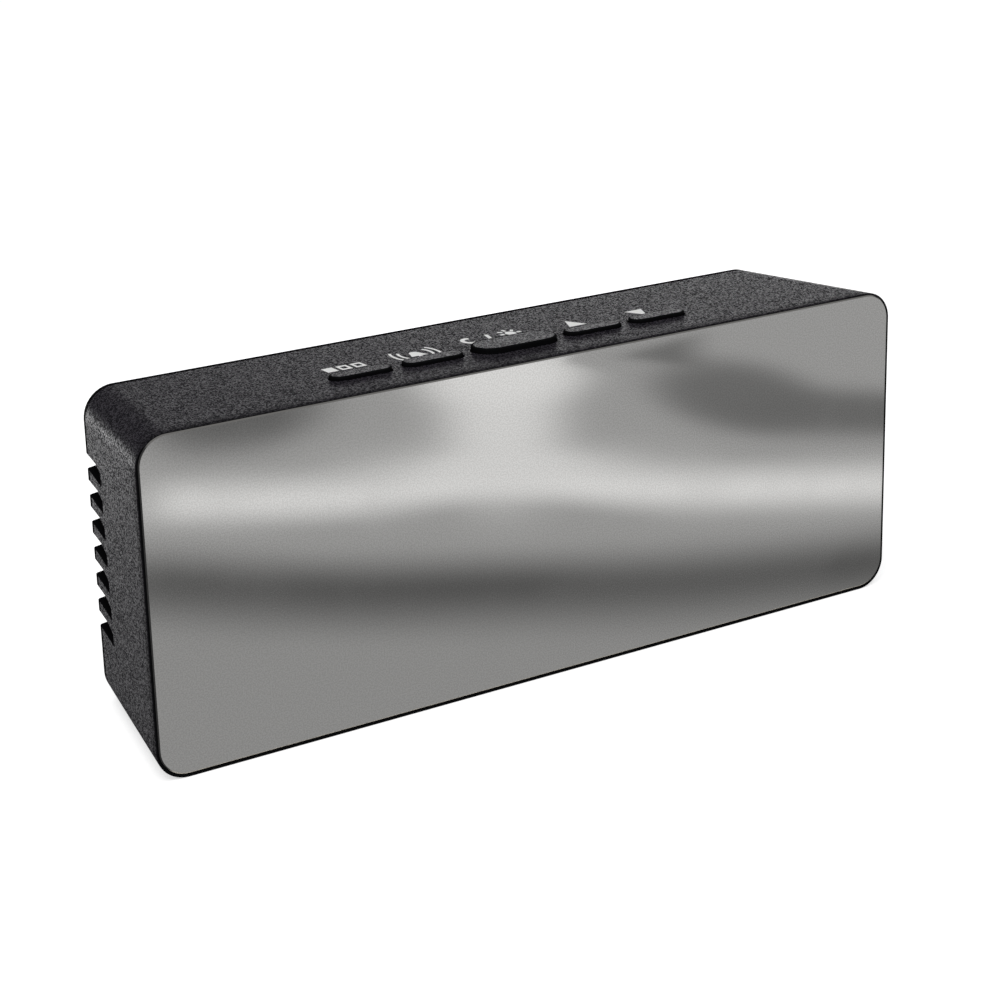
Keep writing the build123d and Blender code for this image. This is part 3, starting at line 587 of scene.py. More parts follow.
@dataclass(frozen=True)
class PlatedMetal(Finish):
    """Plated metal with a clouded polish and fine lines."""

    bright: Colour
    dim: Colour
    gloss: float
    dull: float
    tarnish_size: float = 2.5 * MM
    rub_radius: float = 0.12 * MM
    line_stretch: Triple = (1.0, 1.0, 8.0)
    line_scale: float = 2.5 / MM
    line_depth: float = 0.004 * MM

    def paint(self, graph: Graph) -> Inputs:
        """Clouds the plate, rubs its edges bright and draws fine lines over it.

        Args:
            graph: The material's nodes.

        Returns:
            The shader's inputs.
        """
        tarnish = EFFECTS.put(graph, Effect.HANDLING, Size=self.tarnish_size)["Mask"]
        wear = EFFECTS.put(graph, Effect.EDGE_WEAR, Radius=self.rub_radius)["Mask"]
        lines = graph.noise(graph.stretch(graph.place(), self.line_stretch), self.line_scale, 3.0)
        shade = graph.mix(graph.times(tarnish, 0.6), self.bright, self.dim)
        return {
            "Base Color": graph.mix(wear, shade, self.bright),
            "Metallic": 1.0,
            "Roughness": graph.remap(tarnish, 0.0, 1.0, self.gloss, self.dull),
            "Normal": graph.bump(lines, self.line_depth),
        }


class BoardFace(Enum):
    """Which way a circuit board's faces look."""

    FRONT = (0.0, 1.0, 0.0)
    TOP = (0.0, 0.0, 1.0)


@dataclass(frozen=True)
class SolderMask(Finish):
    """Circuit board: lacquer over copper tracks, tinned pads and a cut glass-fibre edge."""

    face: BoardFace
    lacquer: Colour = (0.012, 0.085, 0.035)
    track: Colour = (0.03, 0.17, 0.06)
    pad: Colour = (0.62, 0.6, 0.55)
    fibre: Colour = (0.34, 0.33, 0.2)
    pitch: float = 2.54 * MM
    pad_scatter: float = 0.35
    weave_scale: float = 3.0 / MM
    copper_height: float = 0.03 * MM

    def paint(self, graph: Graph) -> Inputs:
        """Draws tracks and pads on the faces and fibre on the edges.

        Args:
            graph: The material's nodes.

        Returns:
            The shader's inputs.
        """
        tilt = math.radians(90.0) if self.face is BoardFace.FRONT else 0.0
        turned = graph.node("Mapping", {"Vector": graph.place(), "Rotation": (tilt, 0.0, 0.0)}).outputs[0]
        rows: Inputs = {
            "Vector": turned,
            "Scale": 1.0,
            "Brick Width": 3.0 * self.pitch,
            "Row Height": 0.5 * self.pitch,
            "Mortar Size": 0.08 * self.pitch,
        }
        copper = graph.node("TexBrick", rows, offset=0.5, squash=1.0).outputs["Fac"]
        dots = graph.cells(turned, 1.0 / self.pitch, self.pad_scatter)
        pad = graph.remap(dots["Distance"], 0.17, 0.14)
        flat = graph.along(graph.facing(), self.face.value)
        cut = graph.remap(graph.math("ABSOLUTE", flat), 0.9, 0.6)
        weave = graph.noise(graph.place(), self.weave_scale)
        colour = graph.mix(copper, self.lacquer, self.track)
        colour = graph.mix(pad, colour, self.pad)
        return {
            "Base Color": graph.mix(cut, colour, graph.mix(weave, self.fibre, self.track)),
            "Metallic": graph.most(graph.minus(pad, cut), 0.0),
            "Roughness": graph.remap(cut, 0.0, 1.0, 0.28, 0.75),
            "Normal": graph.bump(graph.most(copper, pad), self.copper_height),
        }


@dataclass(frozen=True)
class CellSleeve(Finish):
    """Printed sleeve round each cell, with a pale ring near its ends and bare metal caps."""

    row_height: float
    row_depth: float
    pitch: float
    sleeve: Colour = (0.035, 0.06, 0.085)
    faded: Colour = (0.045, 0.075, 0.1)
    ring: Colour = (0.5, 0.5, 0.5)
    metal: Colour = (0.7, 0.69, 0.66)
    ring_place: float = 17.5 * MM
    ring_width: float = 1.6 * MM
    button_radius: float = 2.4 * MM
    cloud_size: float = 6.0 * MM
    wrinkle_scale: float = 0.5 / MM
    wrinkle_depth: float = 0.02 * MM

    def paint(self, graph: Graph) -> Inputs:
        """Finds the ring by its distance along the cell, and the caps by theirs from its axis.

        Args:
            graph: The material's nodes.

        Returns:
            The shader's inputs.
        """
        place = graph.parts(graph.place())
        along = graph.math("ABSOLUTE", place["X"])
        off_ring = graph.math("ABSOLUTE", graph.minus(along, self.ring_place))
        ring = graph.remap(off_ring, self.ring_width, 0.8 * self.ring_width)
        half = self.pitch / 2
        off_row = graph.math("WRAP", graph.minus(place["Z"], self.row_height), half, -half)
        off_depth = graph.minus(place["Y"], self.row_depth)
        radius = graph.math("SQRT", graph.squares(off_row, off_depth))
        button = graph.remap(radius, self.button_radius, 0.97 * self.button_radius)
        end = graph.remap(graph.math("ABSOLUTE", graph.parts(graph.facing())["X"]), 0.7, 0.9)
        bare = graph.most(button, end)
        cloud = EFFECTS.put(graph, Effect.HANDLING, Size=self.cloud_size)["Mask"]
        wrinkle = graph.noise(graph.place(), self.wrinkle_scale, 3.0)
        printed = graph.mix(ring, graph.mix(cloud, self.sleeve, self.faded), self.ring)
        return {
            "Base Color": graph.mix(bare, printed, self.metal),
            "Metallic": bare,
            "Roughness": graph.remap(cloud, 0.0, 1.0, 0.24, 0.36),
            "Normal": graph.bump(wrinkle, self.wrinkle_depth),
        }


@dataclass(frozen=True)
class SleevedCan(Finish):
    """Capacitor: shrunk sleeve with a pale stripe, and a scored metal end."""

    middle: float
    sleeve: Colour = (0.012, 0.02, 0.075)
    faded: Colour = (0.02, 0.03, 0.1)
    stripe: Colour = (0.45, 0.48, 0.52)
    metal: Colour = (0.66, 0.66, 0.66)
    stripe_place: Pair = (1.9 * MM, 2.0 * MM)
    cloud_size: float = 1.5 * MM
    wrinkle_depth: float = 0.01 * MM

    def paint(self, graph: Graph) -> Inputs:
        """Puts the stripe on one side and the metal on the end.

        Args:
            graph: The material's nodes.

        Returns:
            The shader's inputs.
        """
        side = graph.minus(graph.parts(graph.place())["X"], self.middle)
        end = graph.looking("Y", 0.7, 0.9)
        cloud = EFFECTS.put(graph, Effect.HANDLING, Size=self.cloud_size)["Mask"]
        sleeve = graph.mix(cloud, self.sleeve, self.faded)
        sleeve = graph.mix(graph.remap(side, *self.stripe_place), sleeve, self.stripe)
        return {
            "Base Color": graph.mix(end, sleeve, self.metal),
            "Metallic": end,
            "Roughness": graph.remap(cloud, 0.0, 1.0, 0.22, 0.34),
            "Normal": graph.bump(cloud, self.wrinkle_depth),
        }


@dataclass(frozen=True)
class PaleFloor(Finish):
    """Pale matt floor, which glows to the camera alone so that it is as white as the background."""

    glow: float = 0.55
    pale: Colour = (0.88, 0.88, 0.88)
    grey: Colour = (0.86, 0.86, 0.86)
    tone_scale: float = 4.0

    def paint(self, graph: Graph) -> Inputs:
        """Changes the tone slowly across the floor.

        Args:
            graph: The material's nodes.

        Returns:
            The shader's inputs.
        """
        seen = graph.node("LightPath", {}).outputs["Is Camera Ray"]
        return {
            "Base Color": graph.mix(graph.noise(graph.place(), self.tone_scale), self.grey, self.pale),
            "Roughness": 0.9,
            "Emission Color": (1.0, 1.0, 1.0),
            "Emission Strength": graph.times(seen, self.glow),
        }


def dress(nodes: Iterable[str], finish: Finish) -> None:
    """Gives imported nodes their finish.

    Args:
        nodes: Names of the nodes.
        finish: What they wear.
    """
    material = finish.material()
    for name in nodes:
        piece = frame["nodes"][name]
        piece.data.materials.clear()
        piece.data.materials.append(material)
        LOG.info("%s wears %s", name, material.name)


def add_piece(name: str, mesh: bmesh.types.BMesh, material: bpy.types.Material) -> bpy.types.Object:
    """Adds a drawn mesh to the scene.

    Args:
        name: Name of the piece.
        mesh: Its mesh, which is freed.
        material: What it wears.

    Returns:
        The new piece.
    """
    data = bpy.data.meshes.new(name)
    mesh.to_mesh(data)
    mesh.free()
    data.materials.append(material)
    piece = bpy.data.objects.new(name, data)
    bpy.context.scene.collection.objects.link(piece)
    return piece


class Stamp:
    """A flat printed sign, drawn in its own plane and then laid on a surface."""

    def __init__(self) -> None:
        """Starts with nothing drawn."""
        self.mesh = bmesh.new()

    @staticmethod
    def spot(centre: Pair, turn: float) -> Matrix:
        """Returns the matrix to a place in the drawing, turned by some degrees."""
        return Matrix.Translation((*centre, 0.0)) @ Matrix.Rotation(math.radians(turn), 4, "Z")

    def sweep(self, centre: Pair, inner: float, outer: float,
              start: float, steps: int, turn: float = 360.0) -> None:
        """Draws a ring, or a piece of one. Four steps make a square frame.

        Args:
            centre: Middle of the ring.
            inner: Its inner radius, to the corners of a frame.
            outer: Its outer radius.
            start: Degrees from +X at which it starts.
            steps: Faces round it.
            turn: Degrees that it covers.
        """
        ray = Vector((math.cos(math.radians(start)), math.sin(math.radians(start)), 0.0))
        middle = Vector((*centre, 0.0))
        ends = [self.mesh.verts.new(middle + ray * radius) for radius in (inner, outer)]
        edge = self.mesh.edges.new(ends)
        bmesh.ops.spin(
            self.mesh, geom=[*ends, edge], cent=middle, axis=(0.0, 0.0, 1.0),
            angle=math.radians(turn), steps=steps, use_merge=turn == 360.0,
        )

    def disc(self, centre: Pair, radius: float, sides: int = 24, turn: float = 0.0) -> None:
        """Draws a filled disc, or with few sides a filled polygon with this radius to its corners."""
        place = self.spot(centre, turn)
        bmesh.ops.create_circle(self.mesh, cap_ends=True, segments=sides, radius=radius, matrix=place)

    def bar(self, centre: Pair, length: float, width: float, turn: float = 0.0) -> None:
        """Draws a bar, turned by some degrees."""
        place = self.spot(centre, turn) @ Matrix.Diagonal((length / 2, width / 2, 1.0, 1.0))
        bmesh.ops.create_grid(self.mesh, x_segments=1, y_segments=1, size=1.0, matrix=place)

    def polygon(self, corners: Iterable[Pair]) -> None:
        """Draws a filled shape with these corners."""
        self.mesh.faces.new([self.mesh.verts.new((*corner, 0.0)) for corner in corners])

    def lay(self, name: str, place: Matrix, body: float, ink: bpy.types.Material) -> bpy.types.Object:
        """Gives the sign its thickness and lays it on a surface.

        Args:
            name: Name of the piece.
            place: Matrix from the drawing's plane to the surface.
            body: How far it stands out.
            ink: What it wears.

        Returns:
            The new piece.
        """
        bmesh.ops.recalc_face_normals(self.mesh, faces=self.mesh.faces)
        raised = bmesh.ops.extrude_face_region(self.mesh, geom=self.mesh.faces[:], use_keep_orig=True)
        tops = [item for item in raised["geom"] if isinstance(item, bmesh.types.BMVert)]
        bmesh.ops.translate(self.mesh, verts=tops, vec=(0.0, 0.0, body))
        bmesh.ops.transform(self.mesh, matrix=place, verts=self.mesh.verts)
        bmesh.ops.recalc_face_normals(self.mesh, faces=self.mesh.faces)
        return add_piece(name, self.mesh, ink)


@dataclass
class CaseShell:
    """The moulded case with its rear cover."""

    plastic: SparkPlastic = SparkPlastic(
        name="case_spark_plastic",
        dark_tone=(0.01, 0.0095, 0.0115),
        glint_tone=(0.044, 0.04, 0.049),
        depth=0.06 * MM,
    )

    def dress(self) -> None:
        """Dresses the case, the cover and its door in one plastic, the case with polish and painted shade on
        its front, edges and vent shelves.
        """
        front, rear = (corner.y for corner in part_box("main_case"))
        shade_painted = replace(self.plastic, name="case_shade_painted_plastic", polish=CasePolishAndShade(front, rear))
        dress(("main_case",), shade_painted)
        dress(("rear_cover", "battery_door"), self.plastic)


@dataclass
class MirrorPlate:
    """The mirror and the foam frame behind it."""

    silver: SilverMirror = SilverMirror("mirror_silver")
    foam: OpenFoam = OpenFoam("mirror_foam")

    def dress(self) -> None:
        """Dresses the plate and its tape."""
        dress(("mirror_panel",), self.silver)
        dress(("mirror_tape",), self.foam)


class Sign(Enum):
    """What is printed behind each key."""

    PAGES = "mode"
    BELL = "alarm"
    MOON_AND_SUN = "snooze_light"
    UP = "up"
    DOWN = "down"


@dataclass
class KeyRow:
    """The five keys and the signs printed behind them."""

    top_band: float = 0.4 * MM
    sign_gap: float = 3.3 * MM
    ink_body: float = 0.03 * MM
    stroke: float = 0.45 * MM
    arrow_radius: float = 2.0 * MM
    stretch: float = 1.45
    # lighter copy of the case plastic: painted light for the brighter look of the crowned key tops
    plastic: SparkPlastic = SparkPlastic(
        name="key_spark_plastic",
        dark_tone=(0.03, 0.0295, 0.032),
        glint_tone=(0.12, 0.118, 0.126),
        depth=0.015 * MM,
        dim_coat=0.22,
        dust_amount=0.006,
    )
    ink: PrintInk = PrintInk("white_print")

    def dress(self) -> None:
        """Dresses each key, with polish and painted shade on its walls and the rim of its own top."""
        for sign in Sign:
            key = f"{sign.value}_button"
            places = [vertex.co for vertex in frame["nodes"][key].data.vertices]
            crown = max(place.z for place in places)
            top = [place for place in places if place.z > crown - self.top_band]
            low = (min(place.x for place in top), min(place.y for place in top))
            high = (max(place.x for place in top), max(place.y for place in top))
            rim_shaded = replace(self.plastic, name=f"{sign.value}_plastic", polish=KeyPolishAndShade(low, high))
            dress((key,), rim_shaded)

    def surface(self, sign: Sign) -> Matrix:
        """Finds where a sign lies on the sloping top.

        Args:
            sign: The sign to place.

        Returns:
            Matrix from the sign's plane to the case.
        """
        press = next(joint for joint in frame["joints"] if joint["name"] == f"{sign.value}_press")
        normal = -Vector(press["axis"]).normalized()
        reach = max(vertex.co.dot(normal) for vertex in frame["nodes"]["main_case"].data.vertices)
        low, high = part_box(f"{sign.value}_button")
        back = high.y + self.sign_gap
        up = (reach - normal.y * back) / normal.z
        right = Vector((1.0, 0.0, 0.0))
        axes = Matrix((right, normal.cross(right), normal)).transposed().to_4x4()
        tall = Matrix.Diagonal((1.0, self.stretch, 1.0, 1.0))
        return Matrix.Translation(((low.x + high.x) / 2, back, up)) @ axes @ tall

    def draw(self, sign: Sign) -> Stamp:
        """Draws one sign.

        Args:
            sign: Which sign.

        Returns:
            The drawing, not yet laid on the case.
        """
        stamp = Stamp()
        if sign is Sign.PAGES:
            self.draw_pages(stamp)
        elif sign is Sign.BELL:
            self.draw_bell(stamp)
        elif sign is Sign.MOON_AND_SUN:
            self.draw_moon_and_sun(stamp)
        else:
            turn = 0.0 if sign is Sign.UP else -180.0
            stamp.disc((0.0, 0.0), self.arrow_radius, sides=3, turn=turn)
        return stamp

    def draw_pages(self, stamp: Stamp) -> None:
        """Draws one filled page and two empty ones.

        Args:
            stamp: What it is drawn in.
        """
        corner = 1.35 * MM
        pitch = 2.6 * MM
        stamp.disc((-pitch, 0.0), corner, sides=4, turn=45.0)
        for across in (0.0, pitch):
            stamp.sweep((across, 0.0), corner - self.stroke * math.sqrt(2), corner, start=45.0, steps=4)

    def draw_bell(self, stamp: Stamp) -> None:
        """Draws a bell with its clapper and two waves on each side.

        Args:
            stamp: What it is drawn in.
        """
        dome, hip = 0.95 * MM, 0.1 * MM
        mouth, foot = 1.5 * MM, -1.0 * MM
        steps = 16
        angles = [math.pi * step / steps for step in range(steps + 1)]
        arc = [(dome * math.cos(angle), hip + dome * math.sin(angle)) for angle in angles]
        stamp.polygon([*arc, (-mouth, foot), (mouth, foot)])
        stamp.disc((0.0, -1.35 * MM), radius=0.35 * MM)
        for radius in (2.5 * MM, 3.7 * MM):
            for start in (-32.0, 148.0):
                stamp.sweep((0.0, 0.0), radius, radius + self.stroke, start, steps=12, turn=64.0)

    def draw_moon_and_sun(self, stamp: Stamp) -> None:
        """Draws a crescent, a bar and a sun with eight rays.

        Args:
            stamp: What it is drawn in.
        """
        moon, sun, halo = -4.2 * MM, 3.9 * MM, 1.65 * MM
        stamp.sweep((moon, 0.0), inner=0.8 * MM, outer=1.5 * MM, start=60.0, steps=20, turn=240.0)
        stamp.bar((-0.4 * MM, 0.0), length=3.0 * MM, width=0.6 * MM, turn=70.0)
        stamp.disc((sun, 0.0), radius=0.9 * MM)
        for turn in range(0, 360, 45):
            angle = math.radians(turn)
            middle = (sun + halo * math.cos(angle), halo * math.sin(angle))
            stamp.bar(middle, length=0.8 * MM, width=0.5 * MM, turn=turn)

    def build(self) -> None:
        """Prints the signs on the case."""
        ink = self.ink.material()
        for sign in Sign:
            piece = self.draw(sign).lay(f"{sign.value}_sign", self.surface(sign), self.ink_body, ink)
            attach(piece, "case")
            LOG.info("%s is printed behind its key", piece.name)


@dataclass
class RearPanel:
    """The cover's screws, and the signs beside the door and the socket."""

    ink_body: float = 0.03 * MM
    arrow_radius: float = 1.8 * MM
    arrow_drop: float = 15.5 * MM
    dash_length: float = 1.3 * MM
    dash_pitch: float = 1.85 * MM
    line_length: float = 5.0 * MM
    line_width: float = 0.45 * MM
    line_offset: float = 0.55 * MM
    socket_gap: float = 4.0 * MM
    black_zinc: PlatedMetal = PlatedMetal(
        name="black_zinc", bright=(0.11, 0.11, 0.115), dim=(0.03, 0.03, 0.032), gloss=0.3, dull=0.45,
    )
    ink: PrintInk = PrintInk("grey_print", full=(0.42, 0.42, 0.42), thin=(0.28, 0.28, 0.28))

    def dress(self) -> None:
        """Dresses the screws."""
        dress(("rear_cover_screws",), self.black_zinc)

    @staticmethod
    def surface(across: float, up: float, rear: float) -> Matrix:
        """Returns the matrix from a sign's plane to a place on the rear."""
        axes = Matrix(((-1.0, 0.0, 0.0), (0.0, 0.0, 1.0), (0.0, 1.0, 0.0))).transposed().to_4x4()
        return Matrix.Translation((across, rear, up)) @ axes

    def build(self) -> None:
        """Prints an arrow on the door and a direct-current sign over the socket."""
        ink = self.ink.material()
        door_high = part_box("battery_door")[1]
        arrow = Stamp()
        arrow.disc((0.0, 0.0), self.arrow_radius, sides=3)
        arrow_place = self.surface(0.0, door_high.z - self.arrow_drop, door_high.y)
        arrow_piece = arrow.lay("door_arrow", arrow_place, self.ink_body, ink)
        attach(arrow_piece, "door")
        shell_low, shell_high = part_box("socket_shell")
        cover_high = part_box("rear_cover")[1]
        current = Stamp()
        current.bar((0.0, self.line_offset), self.line_length, self.line_width)
        for step in (-1, 0, 1):
            current.bar((step * self.dash_pitch, -self.line_offset), self.dash_length, self.line_width)
        middle = (shell_low.x + shell_high.x) / 2
        current_place = self.surface(middle, shell_high.z + self.socket_gap, cover_high.y)
        current_piece = current.lay("socket_sign", current_place, self.ink_body, ink)
        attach(current_piece, "case")
        for piece in (arrow_piece, current_piece):
            LOG.info("%s is printed on the rear", piece.name)


@dataclass
class BatteryBay:
    """Cells, contact plates and leaf springs."""

    cells: int = 3
    nickel: PlatedMetal = PlatedMetal(
        name="nickel_plate", bright=(0.72, 0.7, 0.66), dim=(0.5, 0.48, 0.44), gloss=0.2, dull=0.34,
    )

    def dress(self) -> None:
        """Dresses the bay's pieces, and what else is nickel-plated."""
        low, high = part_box("battery_cells")
        diameter = high.y - low.y
        sleeve = CellSleeve(
            name="cell_sleeve",
            row_height=low.z + diameter / 2,
            row_depth=(low.y + high.y) / 2,
            pitch=(high.z - low.z - diameter) / (self.cells - 1),
        )
        dress(("battery_cells",), sleeve)
        dress(("battery_contacts", "battery_springs", "crystal", "socket_shell"), self.nickel)


@dataclass
class DisplayModule:
    """The lamp display, its board and the components on it."""

    film: SmoothPlastic = SmoothPlastic(
        "smoke_film", (0.1, 0.1, 0.1), (0.07, 0.07, 0.072),
        drift=9.0 * MM, gloss=0.3, dull=0.45, ripple=0.006 * MM,
    )
    white: SmoothPlastic = SmoothPlastic(
        "white_moulding", (0.8, 0.8, 0.78), (0.74, 0.74, 0.71),
        drift=8.0 * MM, gloss=0.42, dull=0.56, ripple=0.02 * MM,
    )
    lens: SmoothPlastic = SmoothPlastic(
        "lamp_lens", (0.85, 0.8, 0.45), (0.78, 0.66, 0.25),
        drift=0.8 * MM, gloss=0.2, dull=0.32, ripple=0.01 * MM,
    )
    epoxy: SmoothPlastic = SmoothPlastic(
        "component_epoxy", (0.02, 0.02, 0.021), (0.032, 0.032, 0.033),
        drift=1.6 * MM, gloss=0.45, dull=0.62,
    )
    bead: SmoothPlastic = SmoothPlastic(
        "sensor_bead", (0.05, 0.02, 0.02), (0.03, 0.01, 0.012),
        drift=0.9 * MM, gloss=0.16, dull=0.26,
    )
    zinc: PlatedMetal = PlatedMetal(
        name="bright_zinc", bright=(0.62, 0.62, 0.64), dim=(0.4, 0.4, 0.43), gloss=0.26, dull=0.42,
    )

    def dress(self) -> None:
        """Dresses the display, from its film to the parts behind it."""
        dress(("display_diffuser",), self.film)
        dress(("digit_reflector",), self.white)
        dress(("segment_lamps",), self.lens)
        dress(("display_board",), SolderMask("display_board_mask", BoardFace.FRONT))
        dress(("key_board", "power_board"), SolderMask("flat_board_mask", BoardFace.TOP))
        dress(("buzzer", "control_chip", "key_switches", "socket_tongue"), self.epoxy)
        dress(("temperature_sensor",), self.bead)
        low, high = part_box("smoothing_capacitor")
        dress(("smoothing_capacitor",), SleevedCan("capacitor_sleeve", middle=(low.x + high.x) / 2))
        metal = ("display_board_screws", "key_board_screws", "power_board_screws", "board_link_pins")
        dress(metal, self.zinc)


@dataclass
class SwitchesAndLeads:
    """The plungers under the keys and the two leads from the socket."""

    ivory: SmoothPlastic = SmoothPlastic(
        "ivory_moulding", (0.75, 0.74, 0.7), (0.68, 0.66, 0.61),
        drift=1.2 * MM, gloss=0.35, dull=0.5, ripple=0.01 * MM,
    )
    red: SmoothPlastic = SmoothPlastic(
        "red_insulation", (0.55, 0.03, 0.03), (0.45, 0.02, 0.022),
        drift=1.0 * MM, gloss=0.34, dull=0.48,
    )
    black: SmoothPlastic = SmoothPlastic(
        "black_insulation", (0.02, 0.02, 0.02), (0.032, 0.032, 0.033),
        drift=1.0 * MM, gloss=0.34, dull=0.48,
    )

    def dress(self) -> None:
        """Dresses plungers and leads."""
        dress([f"{sign.value}_plunger" for sign in Sign], self.ivory)
        dress(("red_lead",), self.red)
        dress(("black_lead",), self.black)


@dataclass(frozen=True)
class Look:
    """The direction that a reflection looks along, in degrees across and below the horizon."""

    graph: Graph
    across: Socket
    below: Socket


@dataclass(frozen=True)
class Backdrop(ABC):
    """A form in the front of the studio, seen only in reflections. Its sizes are degrees."""

    level: float

    @abstractmethod
    def mask(self, look: Look) -> Socket:
        """Draws the form.

        Args:
            look: The direction looked along.

        Returns:
            Its mask, from 0 to 1.
        """


@dataclass(frozen=True)
class BentBand(Backdrop):
    """A band from side to side, arched and with a hump in its middle."""

    middle: float
    above: float
    under: float
    arch: float
    lift: float
    lift_width: float = 3.2

    def mask(self, look: Look) -> Socket:
        """Draws the band.

        Args:
            look: The direction looked along.

        Returns:
            Its mask, from 0 to 1.
        """
        graph = look.graph
        aside = graph.math("POWER", look.across, 2.0)
        hump = graph.math("EXPONENT", graph.times(aside, -1.0 / self.lift_width ** 2))
        bent = graph.math("MULTIPLY_ADD", aside, self.arch, look.below)
        bent = graph.math("MULTIPLY_ADD", hump, self.lift, bent)
        falling = graph.remap(bent, self.middle - self.above, self.middle)
        rising = graph.remap(bent, self.middle + self.under, self.middle)
        return graph.times(falling, rising)


@dataclass(frozen=True)
class SoftOval(Backdrop):
    """A soft oval, by its place across and below the horizon and half its width and height."""

    at: Pair
    half: Pair
    firmness: float
    tilt: float = 0.0
    weight: float = 1.0

    def mask(self, look: Look) -> Socket:
        """Draws the oval.

        Args:
            look: The direction looked along.

        Returns:
            Its mask, from 0 to 1.
        """
        graph = look.graph
        right = graph.minus(look.across, self.at[0])
        down = graph.minus(look.below, self.at[1])
        down = graph.math("MULTIPLY_ADD", right, -math.tan(math.radians(self.tilt)), down)
        wide = graph.math("DIVIDE", right, self.half[0])
        high = graph.math("DIVIDE", down, self.half[1])
        fade = graph.times(graph.math("POWER", graph.squares(wide, high), self.firmness), -1.0)
        return graph.times(graph.math("EXPONENT", fade), self.weight)


@dataclass(frozen=True)
class SoftWedge(Backdrop):
    """A soft wedge that opens to the right from its tip, by the slopes of its upper and lower sides."""

    at: Pair
    slopes: Pair
    softness: float
    reach: float

    def mask(self, look: Look) -> Socket:
        """Draws the wedge, which fades out at its reach.

        Args:
            look: The direction looked along.

        Returns:
            Its mask, from 0 to 1.
        """
        graph = look.graph
        right = graph.minus(look.across, self.at[0])
        down = graph.minus(look.below, self.at[1])
        under_top = graph.math("MULTIPLY_ADD", right, -self.slopes[0], down)
        over_foot = graph.minus(graph.times(right, self.slopes[1]), down)
        inside = graph.remap(graph.math("MINIMUM", under_top, over_foot), 0.0, self.softness)
        return graph.times(inside, graph.remap(right, self.reach, 0.6 * self.reach))


